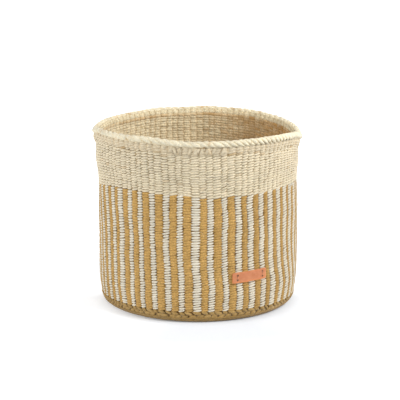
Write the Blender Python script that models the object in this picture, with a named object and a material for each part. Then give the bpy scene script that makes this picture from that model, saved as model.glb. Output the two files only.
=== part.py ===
"""Kiondo basket: an open round basket of twined sisal with a rope rim and a leather label.

Units are metres, +Z is up, the origin is the centre of the flat underside, and the label
faces -Y, turned a little towards +X. The weft cords are drawn as thin woven faces on both
sides of the upright warp cords. The warps start round the middle of the base, run outwards,
turn up at the foot and end inside the hem.
"""

import math

import bmesh
import bpy
from mathutils import Matrix, Vector

# Weave
WARP_DIAMETER = 0.0022
WEFT_FACE_THICKNESS = 0.0016
FIT_GAP = 0.0003
FOLD_OFFSET = 0.0016
STRIPE_PAIRS = 48
RIBS_PER_PAIR = 2

# Wall
WALL_RADIUS = 0.125
BASKET_HEIGHT = 0.224
CREAM_BAND_HEIGHT = 0.0524

# Foot
INNER_CORNER_WIDTH = 0.0025
INNER_CORNER_HEIGHT = 0.003
HEEL_INSET = 0.0035
TAPER_RISE = 0.029
TAPER_MIDDLE_RISE_SHARE = 0.38
TAPER_MIDDLE_INSET_SHARE = 0.42
BORDER_ABOVE_HEEL = 0.0045

# Rim
ROPE_DIAMETER = 0.0074
ROPE_SET_OUT = 0.0014
HEM_HEIGHT = 0.0105
HEM_PROUD = 0.0022
HEM_ROOF = 0.0018

# Label
LABEL_THICKNESS = 0.0014
LABEL_END_MARGIN = 0.007
LABEL_EDGE_MARGIN = 0.0039
LABEL_CORNER_RADIUS = 0.0012
LABEL_ABOVE_TAPER = 0.0113
LABEL_HOLE_RISE = 0.0052
LABEL_MIDDLE_RIB = 8
LABEL_RIBS_SPANNED = 4
LABEL_TILT = math.radians(2.0)
THREAD_DIAMETER = 0.001
THREAD_CLEARANCE = 0.0004
STITCH_CORNER_SHARE = 0.4

# Facets
ROUND_STEPS = 72
CORNER_STEPS = 3
ROPE_SIDES = 8
KNOT_SIDES = 24
HOLE_SIDES = 8
LABEL_STEPS = 8
SHARP_ANGLE = math.radians(40.0)
MERGE_DISTANCE = 0.00001
CUTTER_OVERRUN = 0.001

# Values worked out from the driving dimensions
RIBS = STRIPE_PAIRS * RIBS_PER_PAIR
RIB_ANGLE = math.tau / RIBS
WARP_RADIUS = WARP_DIAMETER / 2
WALL_THICKNESS = 2 * (WEFT_FACE_THICKNESS + FIT_GAP) + WARP_DIAMETER
WARP_DEPTH = WALL_THICKNESS / 2
INNER_FACE_DEPTH = WALL_THICKNESS - WEFT_FACE_THICKNESS
HEEL_RADIUS = WALL_RADIUS - HEEL_INSET
HEEL_HEIGHT = WALL_THICKNESS + INNER_CORNER_HEIGHT
CORNER_WIDTH = WALL_THICKNESS + INNER_CORNER_WIDTH
UNDERSIDE_RADIUS = HEEL_RADIUS - CORNER_WIDTH
TAPER_TOP = HEEL_HEIGHT + TAPER_RISE
BORDER_TOP = HEEL_HEIGHT + BORDER_ABOVE_HEEL
ROPE_RADIUS = ROPE_DIAMETER / 2
HEM_TOP = BASKET_HEIGHT - ROPE_DIAMETER - FIT_GAP
HEM_BOTTOM = HEM_TOP - HEM_HEIGHT
COLOUR_CHANGE = HEM_BOTTOM - CREAM_BAND_HEIGHT


def clear_scene():
    """Remove every object, so that the file starts empty."""
    for item in list(bpy.data.objects):
        bpy.data.objects.remove(item, do_unlink=True)


def make_material(name, colour, roughness):
    """Return a Principled material of one colour, with no metal in it."""
    material = bpy.data.materials.new(name)
    material.use_nodes = True
    shader = material.node_tree.nodes["Principled BSDF"]
    shader.inputs["Base Color"].default_value = (*colour, 1.0)
    shader.inputs["Roughness"].default_value = roughness
    shader.inputs["Metallic"].default_value = 0.0
    return material


def cream_sisal():
    return make_material("cream_sisal", (0.78, 0.69, 0.52), 0.85)


def striped_sisal():
    return make_material("striped_sisal", (0.62, 0.45, 0.24), 0.85)


def tan_sisal():
    return make_material("tan_sisal", (0.60, 0.47, 0.29), 0.9)


def brown_sisal():
    return make_material("brown_sisal", (0.33, 0.21, 0.09), 0.9)


def natural_cord():
    return make_material("natural_cord", (0.66, 0.58, 0.42), 0.8)


def tan_leather():
    return make_material("tan_leather", (0.80, 0.34, 0.17), 0.6)


def label_thread():
    return make_material("label_thread", (0.62, 0.30, 0.15), 0.8)


def add_object(name, mesh, material):
    """Link a finished mesh to the scene as one named object."""
    mesh.materials.append(material)
    item = bpy.data.objects.new(name, mesh)
    bpy.context.scene.collection.objects.link(item)
    return item


def mesh_from(name, work):
    """Turn a bmesh into a smooth-shaded mesh with sharp corners kept."""
    mesh = bpy.data.meshes.new(name)
    work.to_mesh(mesh)
    work.free()
    mesh.shade_smooth()
    mesh.set_sharp_from_angle(angle=SHARP_ANGLE)
    return mesh


# The outer profile of the basket, as (radius, height) from the middle of the underside
def profile_points():
    """Return the corners of the outer profile, from the axis out and up to the hem's top."""
    points = [Vector((0.0, 0.0))]
    for step in range(CORNER_STEPS + 1):
        angle = math.pi / 2 * step / CORNER_STEPS
        radius = UNDERSIDE_RADIUS + CORNER_WIDTH * math.sin(angle)
        points.append(Vector((radius, HEEL_HEIGHT * (1 - math.cos(angle)))))
    middle_radius = WALL_RADIUS - HEEL_INSET * TAPER_MIDDLE_INSET_SHARE
    points.append(Vector((middle_radius, HEEL_HEIGHT + TAPER_RISE * TAPER_MIDDLE_RISE_SHARE)))
    points.append(Vector((WALL_RADIUS, TAPER_TOP)))
    points.append(Vector((WALL_RADIUS, HEM_TOP)))
    return points


PROFILE = profile_points()
CORNER_START = 1


def direction(index):
    """Return the unit direction of the profile's segment that starts at a corner."""
    last = len(PROFILE) - 2
    index = min(max(index, 0), last)
    return (PROFILE[index + 1] - PROFILE[index]).normalized()


def inward(along):
    """Return the normal that points from the outer face into the wall."""
    return Vector((-along.y, along.x))


def at_height(height):
    """Return the place on the profile, counted in corners, at a height on the wall."""
    for index in range(CORNER_START, len(PROFILE) - 1):
        low, high = PROFILE[index].y, PROFILE[index + 1].y
        if height <= high:
            return index + (height - low) / (high - low)
    return float(len(PROFILE) - 1)


def at_radius(radius):
    """Return the place on the flat underside at a radius."""
    return radius / PROFILE[CORNER_START].x


def profile_point(place, depth, shift=0.0):
    """Return a point at a depth under the outer face.

    A corner is mitred, so that faces at all depths stay parallel. The shift moves the point
    along the profile, forwards or backwards, to leave a gap at a piece's end.
    """
    index = int(place)
    part = place - index
    if part > 0.0:
        along = direction(index)
        point = PROFILE[index].lerp(PROFILE[index + 1], part)
        return point + inward(along) * depth + along * shift
    before, after = direction(index - 1), direction(index)
    mitre = inward(before) + inward(after)
    mitre = mitre / (1 + before.dot(after))
    along = after if shift > 0.0 else before
    return PROFILE[index] + mitre * depth + along * shift


def profile_run(start, end, depth, gap_at_start=0.0, gap_at_end=0.0):
    """Return the points of the profile from one place to another at one depth."""
    points = [profile_point(start, depth, gap_at_start)]
    for index in range(int(start) + 1, math.ceil(end)):
        points.append(profile_point(float(index), depth))
    points.append(profile_point(end, depth, -gap_at_end))
    return points


# Turned pieces
def turned_ring(name, outline, material):
    """Spin a closed outline of (radius, height) points into a ring."""
    work = bmesh.new()
    corners = [work.verts.new((point.x, 0.0, point.y)) for point in outline]
    edges = []
    for first, second in zip(corners, corners[1:] + corners[:1]):
        edges.append(work.edges.new((first, second)))
    bmesh.ops.spin(
        work,
        geom=corners + edges,
        cent=(0.0, 0.0, 0.0),
        axis=(0.0, 0.0, 1.0),
        angle=math.tau,
        steps=ROUND_STEPS,
        use_merge=True,
    )
    bmesh.ops.remove_doubles(work, verts=work.verts[:], dist=MERGE_DISTANCE)
    bmesh.ops.recalc_face_normals(work, faces=work.faces[:])
    return add_object(name, mesh_from(name, work), material)


def woven_face(name, start, end, depth, material):
    """Make one face of the weave: a thin turned skin between two places on the profile."""
    half_gap = FIT_GAP / 2
    outer = profile_run(start, end, depth, half_gap, half_gap)
    inner = profile_run(start, end, depth + WEFT_FACE_THICKNESS, half_gap, half_gap)
    return turned_ring(name, outer + inner[::-1], material)


def make_base(knot_radius):
    """Make the two woven faces of the round base."""
    start = at_radius(knot_radius + FIT_GAP / 2)
    brown = brown_sisal()
    woven_face("base_outer_face", start, float(CORNER_START), 0.0, brown)
    woven_face("base_inner_face", start, float(CORNER_START), INNER_FACE_DEPTH, tan_sisal())


def make_wall():
    """Make the foot border and the woven faces of the wall."""
    border_top = at_height(BORDER_TOP)
    colour_change = at_height(COLOUR_CHANGE)
    hem_bottom = at_height(HEM_BOTTOM)
    woven_face("foot_border", float(CORNER_START), border_top, 0.0, brown_sisal())
    woven_face("wall_outer_striped", border_top, colour_change, 0.0, striped_sisal())
    woven_face("wall_outer_cream", colour_change, hem_bottom, 0.0, cream_sisal())
    inner_start = float(CORNER_START)
    woven_face("wall_inner_face", inner_start, hem_bottom, INNER_FACE_DEPTH, tan_sisal())


def make_hem():
    """Make the bound hem: an upside-down channel that holds the warps' ends."""
    bottom = HEM_BOTTOM + FIT_GAP / 2
    roof = HEM_TOP - HEM_ROOF
    outer = WALL_RADIUS + HEM_PROUD
    slot_outer = WALL_RADIUS - WEFT_FACE_THICKNESS
    slot_inner = WALL_RADIUS - INNER_FACE_DEPTH
    inner = WALL_RADIUS - WALL_THICKNESS
    outline = [
        Vector((outer, bottom)),
        Vector((outer, HEM_TOP)),
        Vector((inner, HEM_TOP)),
        Vector((inner, bottom)),
        Vector((slot_inner, bottom)),
        Vector((slot_inner, roof)),
        Vector((slot_outer, roof)),
        Vector((slot_outer, bottom)),
    ]
    turned_ring("hem_band", outline, cream_sisal())


def make_rope():
    """Make the rope that finishes the rim."""
    middle = WALL_RADIUS + ROPE_SET_OUT
    height = BASKET_HEIGHT - ROPE_RADIUS
    outline = []
    for side in range(ROPE_SIDES):
        angle = math.tau * side / ROPE_SIDES
        across = ROPE_RADIUS * math.cos(angle)
        outline.append(Vector((middle + across, height + ROPE_RADIUS * math.sin(angle))))
    turned_ring("rim_rope", outline, cream_sisal())


def make_start_knot(radius):
    """Make the tied middle of the base."""
    work = bmesh.new()
    middle = Matrix.Translation((0.0, 0.0, WALL_THICKNESS / 2))
    bmesh.ops.create_cone(
        work,
        cap_ends=True,
        segments=KNOT_SIDES,
        radius1=radius,
        radius2=radius,
        depth=WALL_THICKNESS,
        matrix=middle,
    )
    add_object("start_knot", mesh_from("start_knot", work), brown_sisal())


# Warps
def tier_start(neighbour_angle):
    """Return the radius at which folded warps fit between their neighbours."""
    half = neighbour_angle / 2
    room = WARP_DIAMETER + FIT_GAP + 2 * FOLD_OFFSET * math.cos(half)
    return room / (2 * math.sin(half))


def warp_start(number):
    """Return where a folded warp begins: every fourth first, then the gaps are filled."""
    stride = 1
    if number % 4 == 0:
        stride = 4
    elif number % 2 == 0:
        stride = 2
    return tier_start(stride * RIBS_PER_PAIR * RIB_ANGLE)


def leg_places(start, top):
    """Return a warp leg's (distance from the axis, height) points, from the fold outwards."""
    spread_start = FOLD_OFFSET / math.sin(RIB_ANGLE / 2)
    places = [profile_point(at_radius(start), WARP_DEPTH)]
    if spread_start > start:
        places.append(profile_point(at_radius(spread_start), WARP_DEPTH))
    for index in range(CORNER_START, len(PROFILE) - 1):
        places.append(profile_point(float(index), WARP_DEPTH))
    places.append(Vector((WALL_RADIUS - WARP_DEPTH, top)))
    return places


def warp_route(number):
    """Return the points of one folded warp, up one leg, round the fold and up the other."""
    start = warp_start(number)
    top = HEM_TOP - HEM_ROOF - FIT_GAP
    turn = Matrix.Rotation(number * RIBS_PER_PAIR * RIB_ANGLE, 3, "Z")
    leg = []
    for place in leg_places(start, top):
        offset = max(FOLD_OFFSET, place.x * math.sin(RIB_ANGLE / 2))
        outwards = place.x if offset == FOLD_OFFSET else place.x * math.cos(RIB_ANGLE / 2)
        leg.append((outwards, offset, place.y))
    fold = Vector((0.0, -(start - FOLD_OFFSET), leg[0][2]))
    left = [Vector((-offset, -outwards, height)) for outwards, offset, height in leg]
    right = [Vector((offset, -outwards, height)) for outwards, offset, height in leg]
    return [turn @ point for point in left[::-1] + [fold] + right]


def cord(name, route, diameter, sides_level, material, closed=False):
    """Make a cord along a route of points."""
    curve = bpy.data.curves.new(name, "CURVE")
    curve.dimensions = "3D"
    curve.bevel_depth = diameter / 2
    curve.bevel_resolution = sides_level
    curve.use_fill_caps = not closed
    line = curve.splines.new("POLY")
    line.points.add(len(route) - 1)
    for spot, point in zip(line.points, route):
        spot.co = (*point, 1.0)
    line.use_cyclic_u = closed
    curve.materials.append(material)
    item = bpy.data.objects.new(name, curve)
    bpy.context.scene.collection.objects.link(item)
    return item


def make_warps():
    """Make every folded warp cord."""
    material = natural_cord()
    for number in range(STRIPE_PAIRS):
        name = f"warp_cord_{number + 1:02d}"
        cord(name, warp_route(number), WARP_DIAMETER, 0, material)


# Label
def label_centre_angle():
    """Return the label's middle, as an angle from -Y towards +X, between two ribs."""
    return LABEL_MIDDLE_RIB * RIB_ANGLE


def label_radius():
    """Return the radius of the label's back."""
    return WALL_RADIUS + FIT_GAP


def hole_arc():
    """Return the distance round the wall from the label's middle to its holes."""
    return label_radius() * RIB_ANGLE * LABEL_RIBS_SPANNED / 2


def label_half_width():
    """Return half the label's height."""
    return LABEL_HOLE_RISE / 2 + LABEL_EDGE_MARGIN


def label_height(arc):
    """Return the height of the label's middle line at a distance round the wall."""
    middle = TAPER_TOP + LABEL_ABOVE_TAPER + label_half_width()
    return middle + arc * math.tan(LABEL_TILT)


def on_wall(arc, radius, height):
    """Return a point at a distance round the wall from the label's middle."""
    angle = label_centre_angle() + arc / label_radius()
    return Vector((radius * math.sin(angle), -radius * math.cos(angle), height))


def label_stations():
    """Return (arc, half width) along the label, with its corners rounded at both ends."""
    end = hole_arc() + LABEL_END_MARGIN
    half = label_half_width()
    corner = min(LABEL_CORNER_RADIUS, half / 2)
    rounded = []
    for angle in (0.0, math.pi / 4, math.pi / 2):
        inset = corner * (1 - math.sin(angle))
        rounded.append((end - corner + corner * math.cos(angle), half - inset))
    flat = end - corner
    middle = []
    for step in range(1, LABEL_STEPS):
        middle.append((-flat + 2 * flat * step / LABEL_STEPS, half))
    left = [(-arc, width) for arc, width in rounded]
    return left + middle + rounded[::-1]


def make_label(holes):
    """Make the bent leather strip and cut its four holes."""
    work = bmesh.new()
    back, front = label_radius(), label_radius() + LABEL_THICKNESS
    loops = []
    for arc, half in label_stations():
        middle = label_height(arc)
        corners = []
        for radius, side in ((back, -1), (front, -1), (front, 1), (back, 1)):
            corners.append(work.verts.new(on_wall(arc, radius, middle + side * half)))
        loops.append(corners)
    for first, second in zip(loops, loops[1:]):
        for index in range(len(first)):
            after = (index + 1) % len(first)
            work.faces.new((first[index], first[after], second[after], second[index]))
    work.faces.new(loops[0])
    work.faces.new(loops[-1])
    bmesh.ops.recalc_face_normals(work, faces=work.faces[:])
    label = add_object("leather_label", mesh_from("leather_label", work), tan_leather())
    cut_holes(label, holes)


def hole_places():
    """Return (arc, height) of the four thread holes."""
    places = []
    for arc in (-hole_arc(), hole_arc()):
        for side in (-1, 1):
            places.append((arc, label_height(arc) + side * LABEL_HOLE_RISE / 2))
    return places


def make_hole_cutter():
    """Make the four radial rods that cut the thread holes in the label and the wall."""
    work = bmesh.new()
    inside = WALL_RADIUS - WEFT_FACE_THICKNESS - CUTTER_OVERRUN
    outside = label_radius() + LABEL_THICKNESS + CUTTER_OVERRUN
    radius = THREAD_DIAMETER / 2 + THREAD_CLEARANCE
    for arc, height in hole_places():
        middle = on_wall(arc, (inside + outside) / 2, height)
        outwards = Vector((middle.x, middle.y, 0.0))
        turn = outwards.to_track_quat("Z", "Y").to_matrix().to_4x4()
        bmesh.ops.create_cone(
            work,
            cap_ends=True,
            segments=HOLE_SIDES,
            radius1=radius,
            radius2=radius,
            depth=outside - inside,
            matrix=Matrix.Translation(middle) @ turn,
        )
    mesh = bpy.data.meshes.new("thread_holes")
    work.to_mesh(mesh)
    work.free()
    cutter = bpy.data.objects.new("thread_holes", mesh)
    cutter.hide_render = True
    cutter.display_type = "WIRE"
    bpy.context.scene.collection.objects.link(cutter)
    return cutter


def cut_holes(item, holes):
    """Cut the thread holes out of an object."""
    cut = item.modifiers.new("thread_holes", "BOOLEAN")
    cut.operation = "DIFFERENCE"
    cut.solver = "EXACT"
    cut.object = holes


def stitch_route(arc):
    """Return the closed loop of one stitch, out through one hole and back by the other."""
    thread = THREAD_DIAMETER / 2
    front = label_radius() + LABEL_THICKNESS + FIT_GAP + thread
    back = WALL_RADIUS - WEFT_FACE_THICKNESS - FIT_GAP - thread
    cut = THREAD_DIAMETER * STITCH_CORNER_SHARE
    rise = LABEL_HOLE_RISE / 2
    middle = label_height(arc)
    corners = (
        (back + cut, -rise),
        (front - cut, -rise),
        (front, -rise + cut),
        (front, rise - cut),
        (front - cut, rise),
        (back + cut, rise),
        (back, rise - cut),
        (back, -rise + cut),
    )
    return [on_wall(arc, radius, middle + height) for radius, height in corners]


def make_stitches():
    """Make the two thread loops that hold the label."""
    material = label_thread()
    ends = (("label_stitch_left", -hole_arc()), ("label_stitch_right", hole_arc()))
    for name, arc in ends:
        cord(name, stitch_route(arc), THREAD_DIAMETER, 1, material, closed=True)


def build_basket():
    """Make every piece of the basket."""
    clear_scene()
    knot_radius = warp_start(0) - FOLD_OFFSET - WARP_RADIUS - FIT_GAP
    make_start_knot(knot_radius)
    make_base(knot_radius)
    make_wall()
    make_hem()
    make_rope()
    make_warps()
    holes = make_hole_cutter()
    cut_holes(bpy.data.objects["wall_outer_striped"], holes)
    make_label(holes)
    make_stitches()


build_basket()
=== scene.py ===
"""Kiondo basket, dressed: twined sisal walls, a three-strand rope rim and a bare leather label.

The weave is modelled flat, as cloth with its outer face towards -Y: x runs round the basket
and z along the profile, from the middle of the underside outwards and up. The hand-made
shape then rolls that cloth onto the basket.
"""

import logging
import math
from contextlib import contextmanager
from dataclasses import dataclass, replace
from enum import Enum
from functools import cache
from typing import Callable, Iterator, Sequence

import bmesh
import bpy
import numpy as np
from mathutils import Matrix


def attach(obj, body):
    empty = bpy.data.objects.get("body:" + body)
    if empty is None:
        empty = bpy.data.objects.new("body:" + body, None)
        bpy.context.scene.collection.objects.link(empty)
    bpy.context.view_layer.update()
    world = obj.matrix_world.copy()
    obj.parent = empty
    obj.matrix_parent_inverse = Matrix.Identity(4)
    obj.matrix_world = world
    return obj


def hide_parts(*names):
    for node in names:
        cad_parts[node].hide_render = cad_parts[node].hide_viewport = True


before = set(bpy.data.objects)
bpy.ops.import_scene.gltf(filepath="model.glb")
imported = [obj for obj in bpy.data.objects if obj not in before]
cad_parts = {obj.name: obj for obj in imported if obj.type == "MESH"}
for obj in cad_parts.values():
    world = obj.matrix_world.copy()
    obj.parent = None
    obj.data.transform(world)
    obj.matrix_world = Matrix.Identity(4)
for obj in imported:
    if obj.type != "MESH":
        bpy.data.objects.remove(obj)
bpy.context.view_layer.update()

LOG = logging.getLogger("kiondo")
Colour = tuple[float, float, float]
Item = bpy.types.Object
Socket = bpy.types.NodeSocket
Luck = np.random.Generator
Array = np.ndarray

RIBS = 96
RIB_TURN = math.tau / RIBS
RIB_PITCH = 0.125 * RIB_TURN
WALL_RADIUS = 0.125
WALL_THICKNESS = 0.006
UNDERSIDE_RADIUS = 0.113
HEEL_RADIUS = 0.1215
HEEL_HEIGHT = 0.009
TAPER_TOP = 0.038
BORDER_TOP = 0.0135
COLOUR_CHANGE = 0.1538
HEM_BOTTOM = 0.2058
HEM_TOP = 0.2163
ROPE_HEIGHT = 0.2201
ROPE_OUT = 0.0014
ROPE_RADIUS = WALL_RADIUS + ROPE_OUT
MERGE_DISTANCE = 0.000002
WHITE = (1.0, 1.0, 1.0, 1.0)


def srgb(red: float, green: float, blue: float) -> Colour:
    """Turn a colour of 0 to 255, as seen on a screen, into linear values.

    Args:
        red: The red part.
        green: The green part.
        blue: The blue part.

    Returns:
        The linear colour.
    """
    linear = []
    for part in (red, green, blue):
        share = part / 255
        linear.append(share / 12.92 if share <= 0.04045 else ((share + 0.055) / 1.055) ** 2.4)
    return (linear[0], linear[1], linear[2])


def smooth_step(low: float, high: float, value: Array) -> Array:
    """Rise smoothly from 0 at low to 1 at high.

    Args:
        low: Where the rise starts.
        high: Where the rise ends.
        value: The values to look at.

    Returns:
        The share of the rise at each value.
    """
    share = clamp((value - low) / (high - low))
    return share * share * (3.0 - 2.0 * share)


def between(start: float, full: float, fading: float, end: float, value: Array) -> Array:
    """Rise from 0 at start to 1 at full, and fall back from fading to end."""
    return smooth_step(start, full, value) * (1.0 - smooth_step(fading, end, value))


def clamp(values: Array) -> Array:
    """Keep values between 0 and 1."""
    return np.clip(values, 0.0, 1.0)


def near(turn: Array, place: float, width: float) -> Array:
    """Fall from 1 at a place round the basket to 0 away from it.

    Args:
        turn: The angles to look at.
        place: The place's angle.
        width: How wide its stretch is, as an angle.

    Returns:
        How near each angle is.
    """
    away = ((turn - place + math.pi) % math.tau - math.pi) / width
    return np.exp(-away * away)


# Hands-on helpers
def deselect_all() -> None:
    """Leave edit mode and select nothing."""
    if bpy.context.mode != "OBJECT":
        bpy.ops.object.mode_set(mode="OBJECT")
    bpy.ops.object.select_all(action="DESELECT")


def take_up(item: Item) -> None:
    """Make one object the selected and active one.

    Args:
        item: The object.
    """
    deselect_all()
    item.select_set(True)
    bpy.context.view_layer.objects.active = item


def named(name: str) -> Item:
    """Name the active object and its mesh.

    Args:
        name: Their name.

    Returns:
        The object.
    """
    item = bpy.context.view_layer.objects.active
    item.name = name
    item.data.name = name
    return item


def apply_place(item: Item) -> None:
    """Move an object's place, turn and size into its mesh."""
    take_up(item)
    bpy.ops.object.transform_apply(location=True, rotation=True, scale=True)


@contextmanager
def editing(item: Item) -> Iterator[None]:
    """Edit a mesh with all of it selected, and leave edit mode at the end.

    Args:
        item: The mesh.

    Yields:
        Nothing, while it is edited.
    """
    take_up(item)
    bpy.ops.object.mode_set(mode="EDIT")
    bpy.ops.mesh.select_all(action="SELECT")
    yield
    bpy.ops.object.mode_set(mode="OBJECT")


def face_outwards(item: Item) -> None:
    """Merge the doubles of a mesh and turn its faces outwards.

    Args:
        item: The mesh.
    """
    with editing(item):
        bpy.ops.mesh.remove_doubles(threshold=MERGE_DISTANCE)
        bpy.ops.mesh.normals_make_consistent(inside=False)


def apply_modifier(item: Item, kind: str, **settings: object) -> None:
    """Add a modifier, set it and apply it.

    Args:
        item: The object that takes it.
        kind: The modifier's type.
        settings: Its settings by name.
    """
    take_up(item)
    change = item.modifiers.new(kind.lower(), kind)
    for name, value in settings.items():
        setattr(change, name, value)
    bpy.ops.object.modifier_apply(modifier=change.name)


def copy_along(item: Item, count: int, step: tuple[float, float, float]) -> None:
    """Copy a mesh in a row.

    Args:
        item: The mesh, which becomes the row's first.
        count: How many there are then.
        step: The way from each to the next.
    """
    apply_modifier(
        item, "ARRAY", count=count, use_relative_offset=False, use_constant_offset=True, constant_offset_displace=step
    )


def join_as(name: str, parts: Sequence[Item]) -> Item:
    """Bring meshes together as one.

    Args:
        name: The name of the whole.
        parts: The meshes.

    Returns:
        The whole.
    """
    take_up(parts[0])
    for part in parts[1:]:
        part.select_set(True)
    bpy.ops.object.join()
    return named(name)


def points_of(item: Item) -> Array:
    """Read where a mesh's corners are.

    Args:
        item: The mesh.

    Returns:
        Their places, one row each.
    """
    mesh = item.data
    flat = np.empty(len(mesh.vertices) * 3)
    mesh.vertices.foreach_get("co", flat)
    return flat.reshape(-1, 3)


def set_points(item: Item, points: Array) -> None:
    """Move a mesh's corners to new places."""
    item.data.vertices.foreach_set("co", np.ascontiguousarray(points, dtype=np.float32).ravel())
    item.data.update()


def keep(item: Item, **marks: Array | float) -> None:
    """Keep numbers for each corner of a mesh, for its finish to read.

    Args:
        item: The mesh.
        marks: The numbers by name: one or three for each corner, or one for all of them.
    """
    for name, values in marks.items():
        wide, layers = np.ndim(values) == 2, item.data.attributes
        kept = layers.get(name) or layers.new(name=name, type="FLOAT_VECTOR" if wide else "FLOAT", domain="POINT")
        if np.ndim(values) == 0:
            values = np.full(len(item.data.vertices), values)
        flat = np.ascontiguousarray(values, dtype=np.float32).ravel()
        kept.data.foreach_set("vector" if wide else "value", flat)


def plain_marks(item: Item) -> None:
    """Keep what a sisal finish reads, for a piece that is one strand all over."""
    # A flat share of painted shade all over.
    keep(item, strand=points_of(item) * 1000 * np.array([0.3, 0.3, 0.1]), tone=0.5, dye=0.0, tuck=0.3)


class Cords:
    """Round cords, laid point by point and then made one mesh."""

    def __init__(self, name: str, radius: float, roundness: int, capped: bool = False) -> None:
        """Start without any cord.

        Args:
            name: The piece's name.
            radius: The cords' radius.
            roundness: How finely their section is cut.
            capped: Whether their ends are closed.
        """
        self.curve = bpy.data.curves.new(name, "CURVE")
        self.curve.dimensions = "3D"
        self.curve.bevel_depth = radius
        self.curve.bevel_resolution = roundness
        self.curve.use_fill_caps = capped

    def lay(self, route: Array, girth: Array | None = None, closed: bool = False) -> None:
        """Lay one cord.

        Args:
            route: Its points in the basket's frame.
            girth: Its share of the radius at each point, if it varies.
            closed: Whether its end runs into its start.
        """
        line = self.curve.splines.new("POLY")
        line.points.add(len(route) - 1)
        line.points.foreach_set("co", np.concatenate((route, np.ones((len(route), 1))), axis=1).ravel())
        if girth is not None:
            line.points.foreach_set("radius", girth)
        line.use_cyclic_u = closed

    def mesh(self) -> Item:
        """Turn the cords into one mesh.

        Returns:
            The mesh.
        """
        item = bpy.data.objects.new(self.curve.name, self.curve)
        bpy.context.scene.collection.objects.link(item)
        take_up(item)
        bpy.ops.object.convert(target="MESH")
        return bpy.context.view_layer.objects.active


# Finishes
class Nodes:
    """Wires the nodes of one material or world."""

    def __init__(self, owner: bpy.types.Material | bpy.types.World) -> None:
        """Take up the nodes and the shader that they start with.

        Args:
            owner: The material or world.
        """
        owner.use_nodes = True
        self.owner = owner
        self.tree = owner.node_tree
        self.shader = self.tree.nodes["Background" if isinstance(owner, bpy.types.World) else "Principled BSDF"]

    def add(self, kind: str, *sources: Socket, **settings: object) -> bpy.types.Node:
        """Add a node.

        Args:
            kind: The node's type.
            sources: The sockets to link to its first inputs, in order.
            settings: Its properties by name.

        Returns:
            The node.
        """
        node = self.tree.nodes.new(kind)
        for name, value in settings.items():
            setattr(node, name, value)
        for source, end in zip(sources, node.inputs):
            self.join(source, end)
        return node

    def join(self, start: Socket, end: Socket) -> None:
        """Link one socket to another."""
        self.tree.links.new(start, end)

    @staticmethod
    def fill(node: bpy.types.Node, **values: float | tuple[float, ...]) -> None:
        """Set a node's inputs, with _ for a space in a name."""
        for name, value in values.items():
            node.inputs[name.replace("_", " ")].default_value = value

    def kept(self, name: str, output: str = "Fac") -> Socket:
        """Return what the mesh keeps under a name."""
        return self.add("ShaderNodeAttribute", attribute_name=name).outputs[output]

    def place(self) -> Socket:
        """Return the place of each point in its object."""
        return self.add("ShaderNodeTexCoord").outputs["Object"]

    def stretched(self, source: Socket, scale: Colour) -> Socket:
        """Stretch a vector.

        Args:
            source: The vector.
            scale: The scale for each direction.

        Returns:
            The stretched vector.
        """
        node = self.add("ShaderNodeVectorMath", source, operation="MULTIPLY")
        node.inputs[1].default_value = scale
        return node.outputs[0]

    def noise(self, source: Socket, scale: float, detail: float = 2.0) -> Socket:
        """Make a noise pattern.

        Args:
            source: The vector that it lies over.
            scale: How fine it is.
            detail: How many finer layers it has.

        Returns:
            The pattern's values.
        """
        node = self.add("ShaderNodeTexNoise", source)
        self.fill(node, Scale=scale, Detail=detail, Roughness=0.6)
        return node.outputs["Fac"]

    def spread(self, source: Socket, low: float, high: float, to_low: float = 0.0, to_high: float = 1.0) -> Socket:
        """Map a range of values onto another.

        Args:
            source: The values.
            low: The value that becomes to_low.
            high: The value that becomes to_high.
            to_low: The lowest result.
            to_high: The highest result.

        Returns:
            The mapped values.
        """
        node = self.add("ShaderNodeMapRange", source)
        self.fill(node, From_Min=low, From_Max=high, To_Min=to_low, To_Max=to_high)
        return node.outputs["Result"]

    def reckon(self, operation: str, first: Socket, second: Socket) -> Socket:
        """Return what a math operation makes of two values."""
        return self.add("ShaderNodeMath", first, second, operation=operation).outputs[0]

    def blend(self, share: Socket, first: Socket | Colour, second: Socket | Colour) -> Socket:
        """Mix two colours by a share.

        Args:
            share: How much of the second colour shows.
            first: The first colour, or a socket that gives it.
            second: The second colour, or a socket that gives it.

        Returns:
            The mixed colour.
        """
        node = self.add("ShaderNodeMix", share, data_type="RGBA")
        sockets = [each for each in node.inputs if each.type == "RGBA"]
        for socket, colour in zip(sockets, (first, second)):
            if isinstance(colour, tuple):
                socket.default_value = (*colour, 1.0)
            else:
                self.join(colour, socket)
        return [each for each in node.outputs if each.type == "RGBA"][0]

    def brighten(self, colour: Socket, value: Socket) -> Socket:
        """Make a colour lighter or darker.

        Args:
            colour: The colour.
            value: How light it gets, round 1.

        Returns:
            The new colour.
        """
        node = self.add("ShaderNodeHueSaturation")
        self.join(colour, node.inputs["Color"])
        self.join(value, node.inputs["Value"])
        return node.outputs["Color"]

    def relief(self, height: Socket, strength: float, distance: float) -> None:
        """Raise the surface by a pattern.

        Args:
            height: The pattern.
            strength: How much of it shows.
            distance: Its full height in metres.
        """
        node = self.add("ShaderNodeBump")
        self.fill(node, Strength=strength, Distance=distance)
        self.join(height, node.inputs["Height"])
        self.join(node.outputs["Normal"], self.shader.inputs["Normal"])


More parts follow.
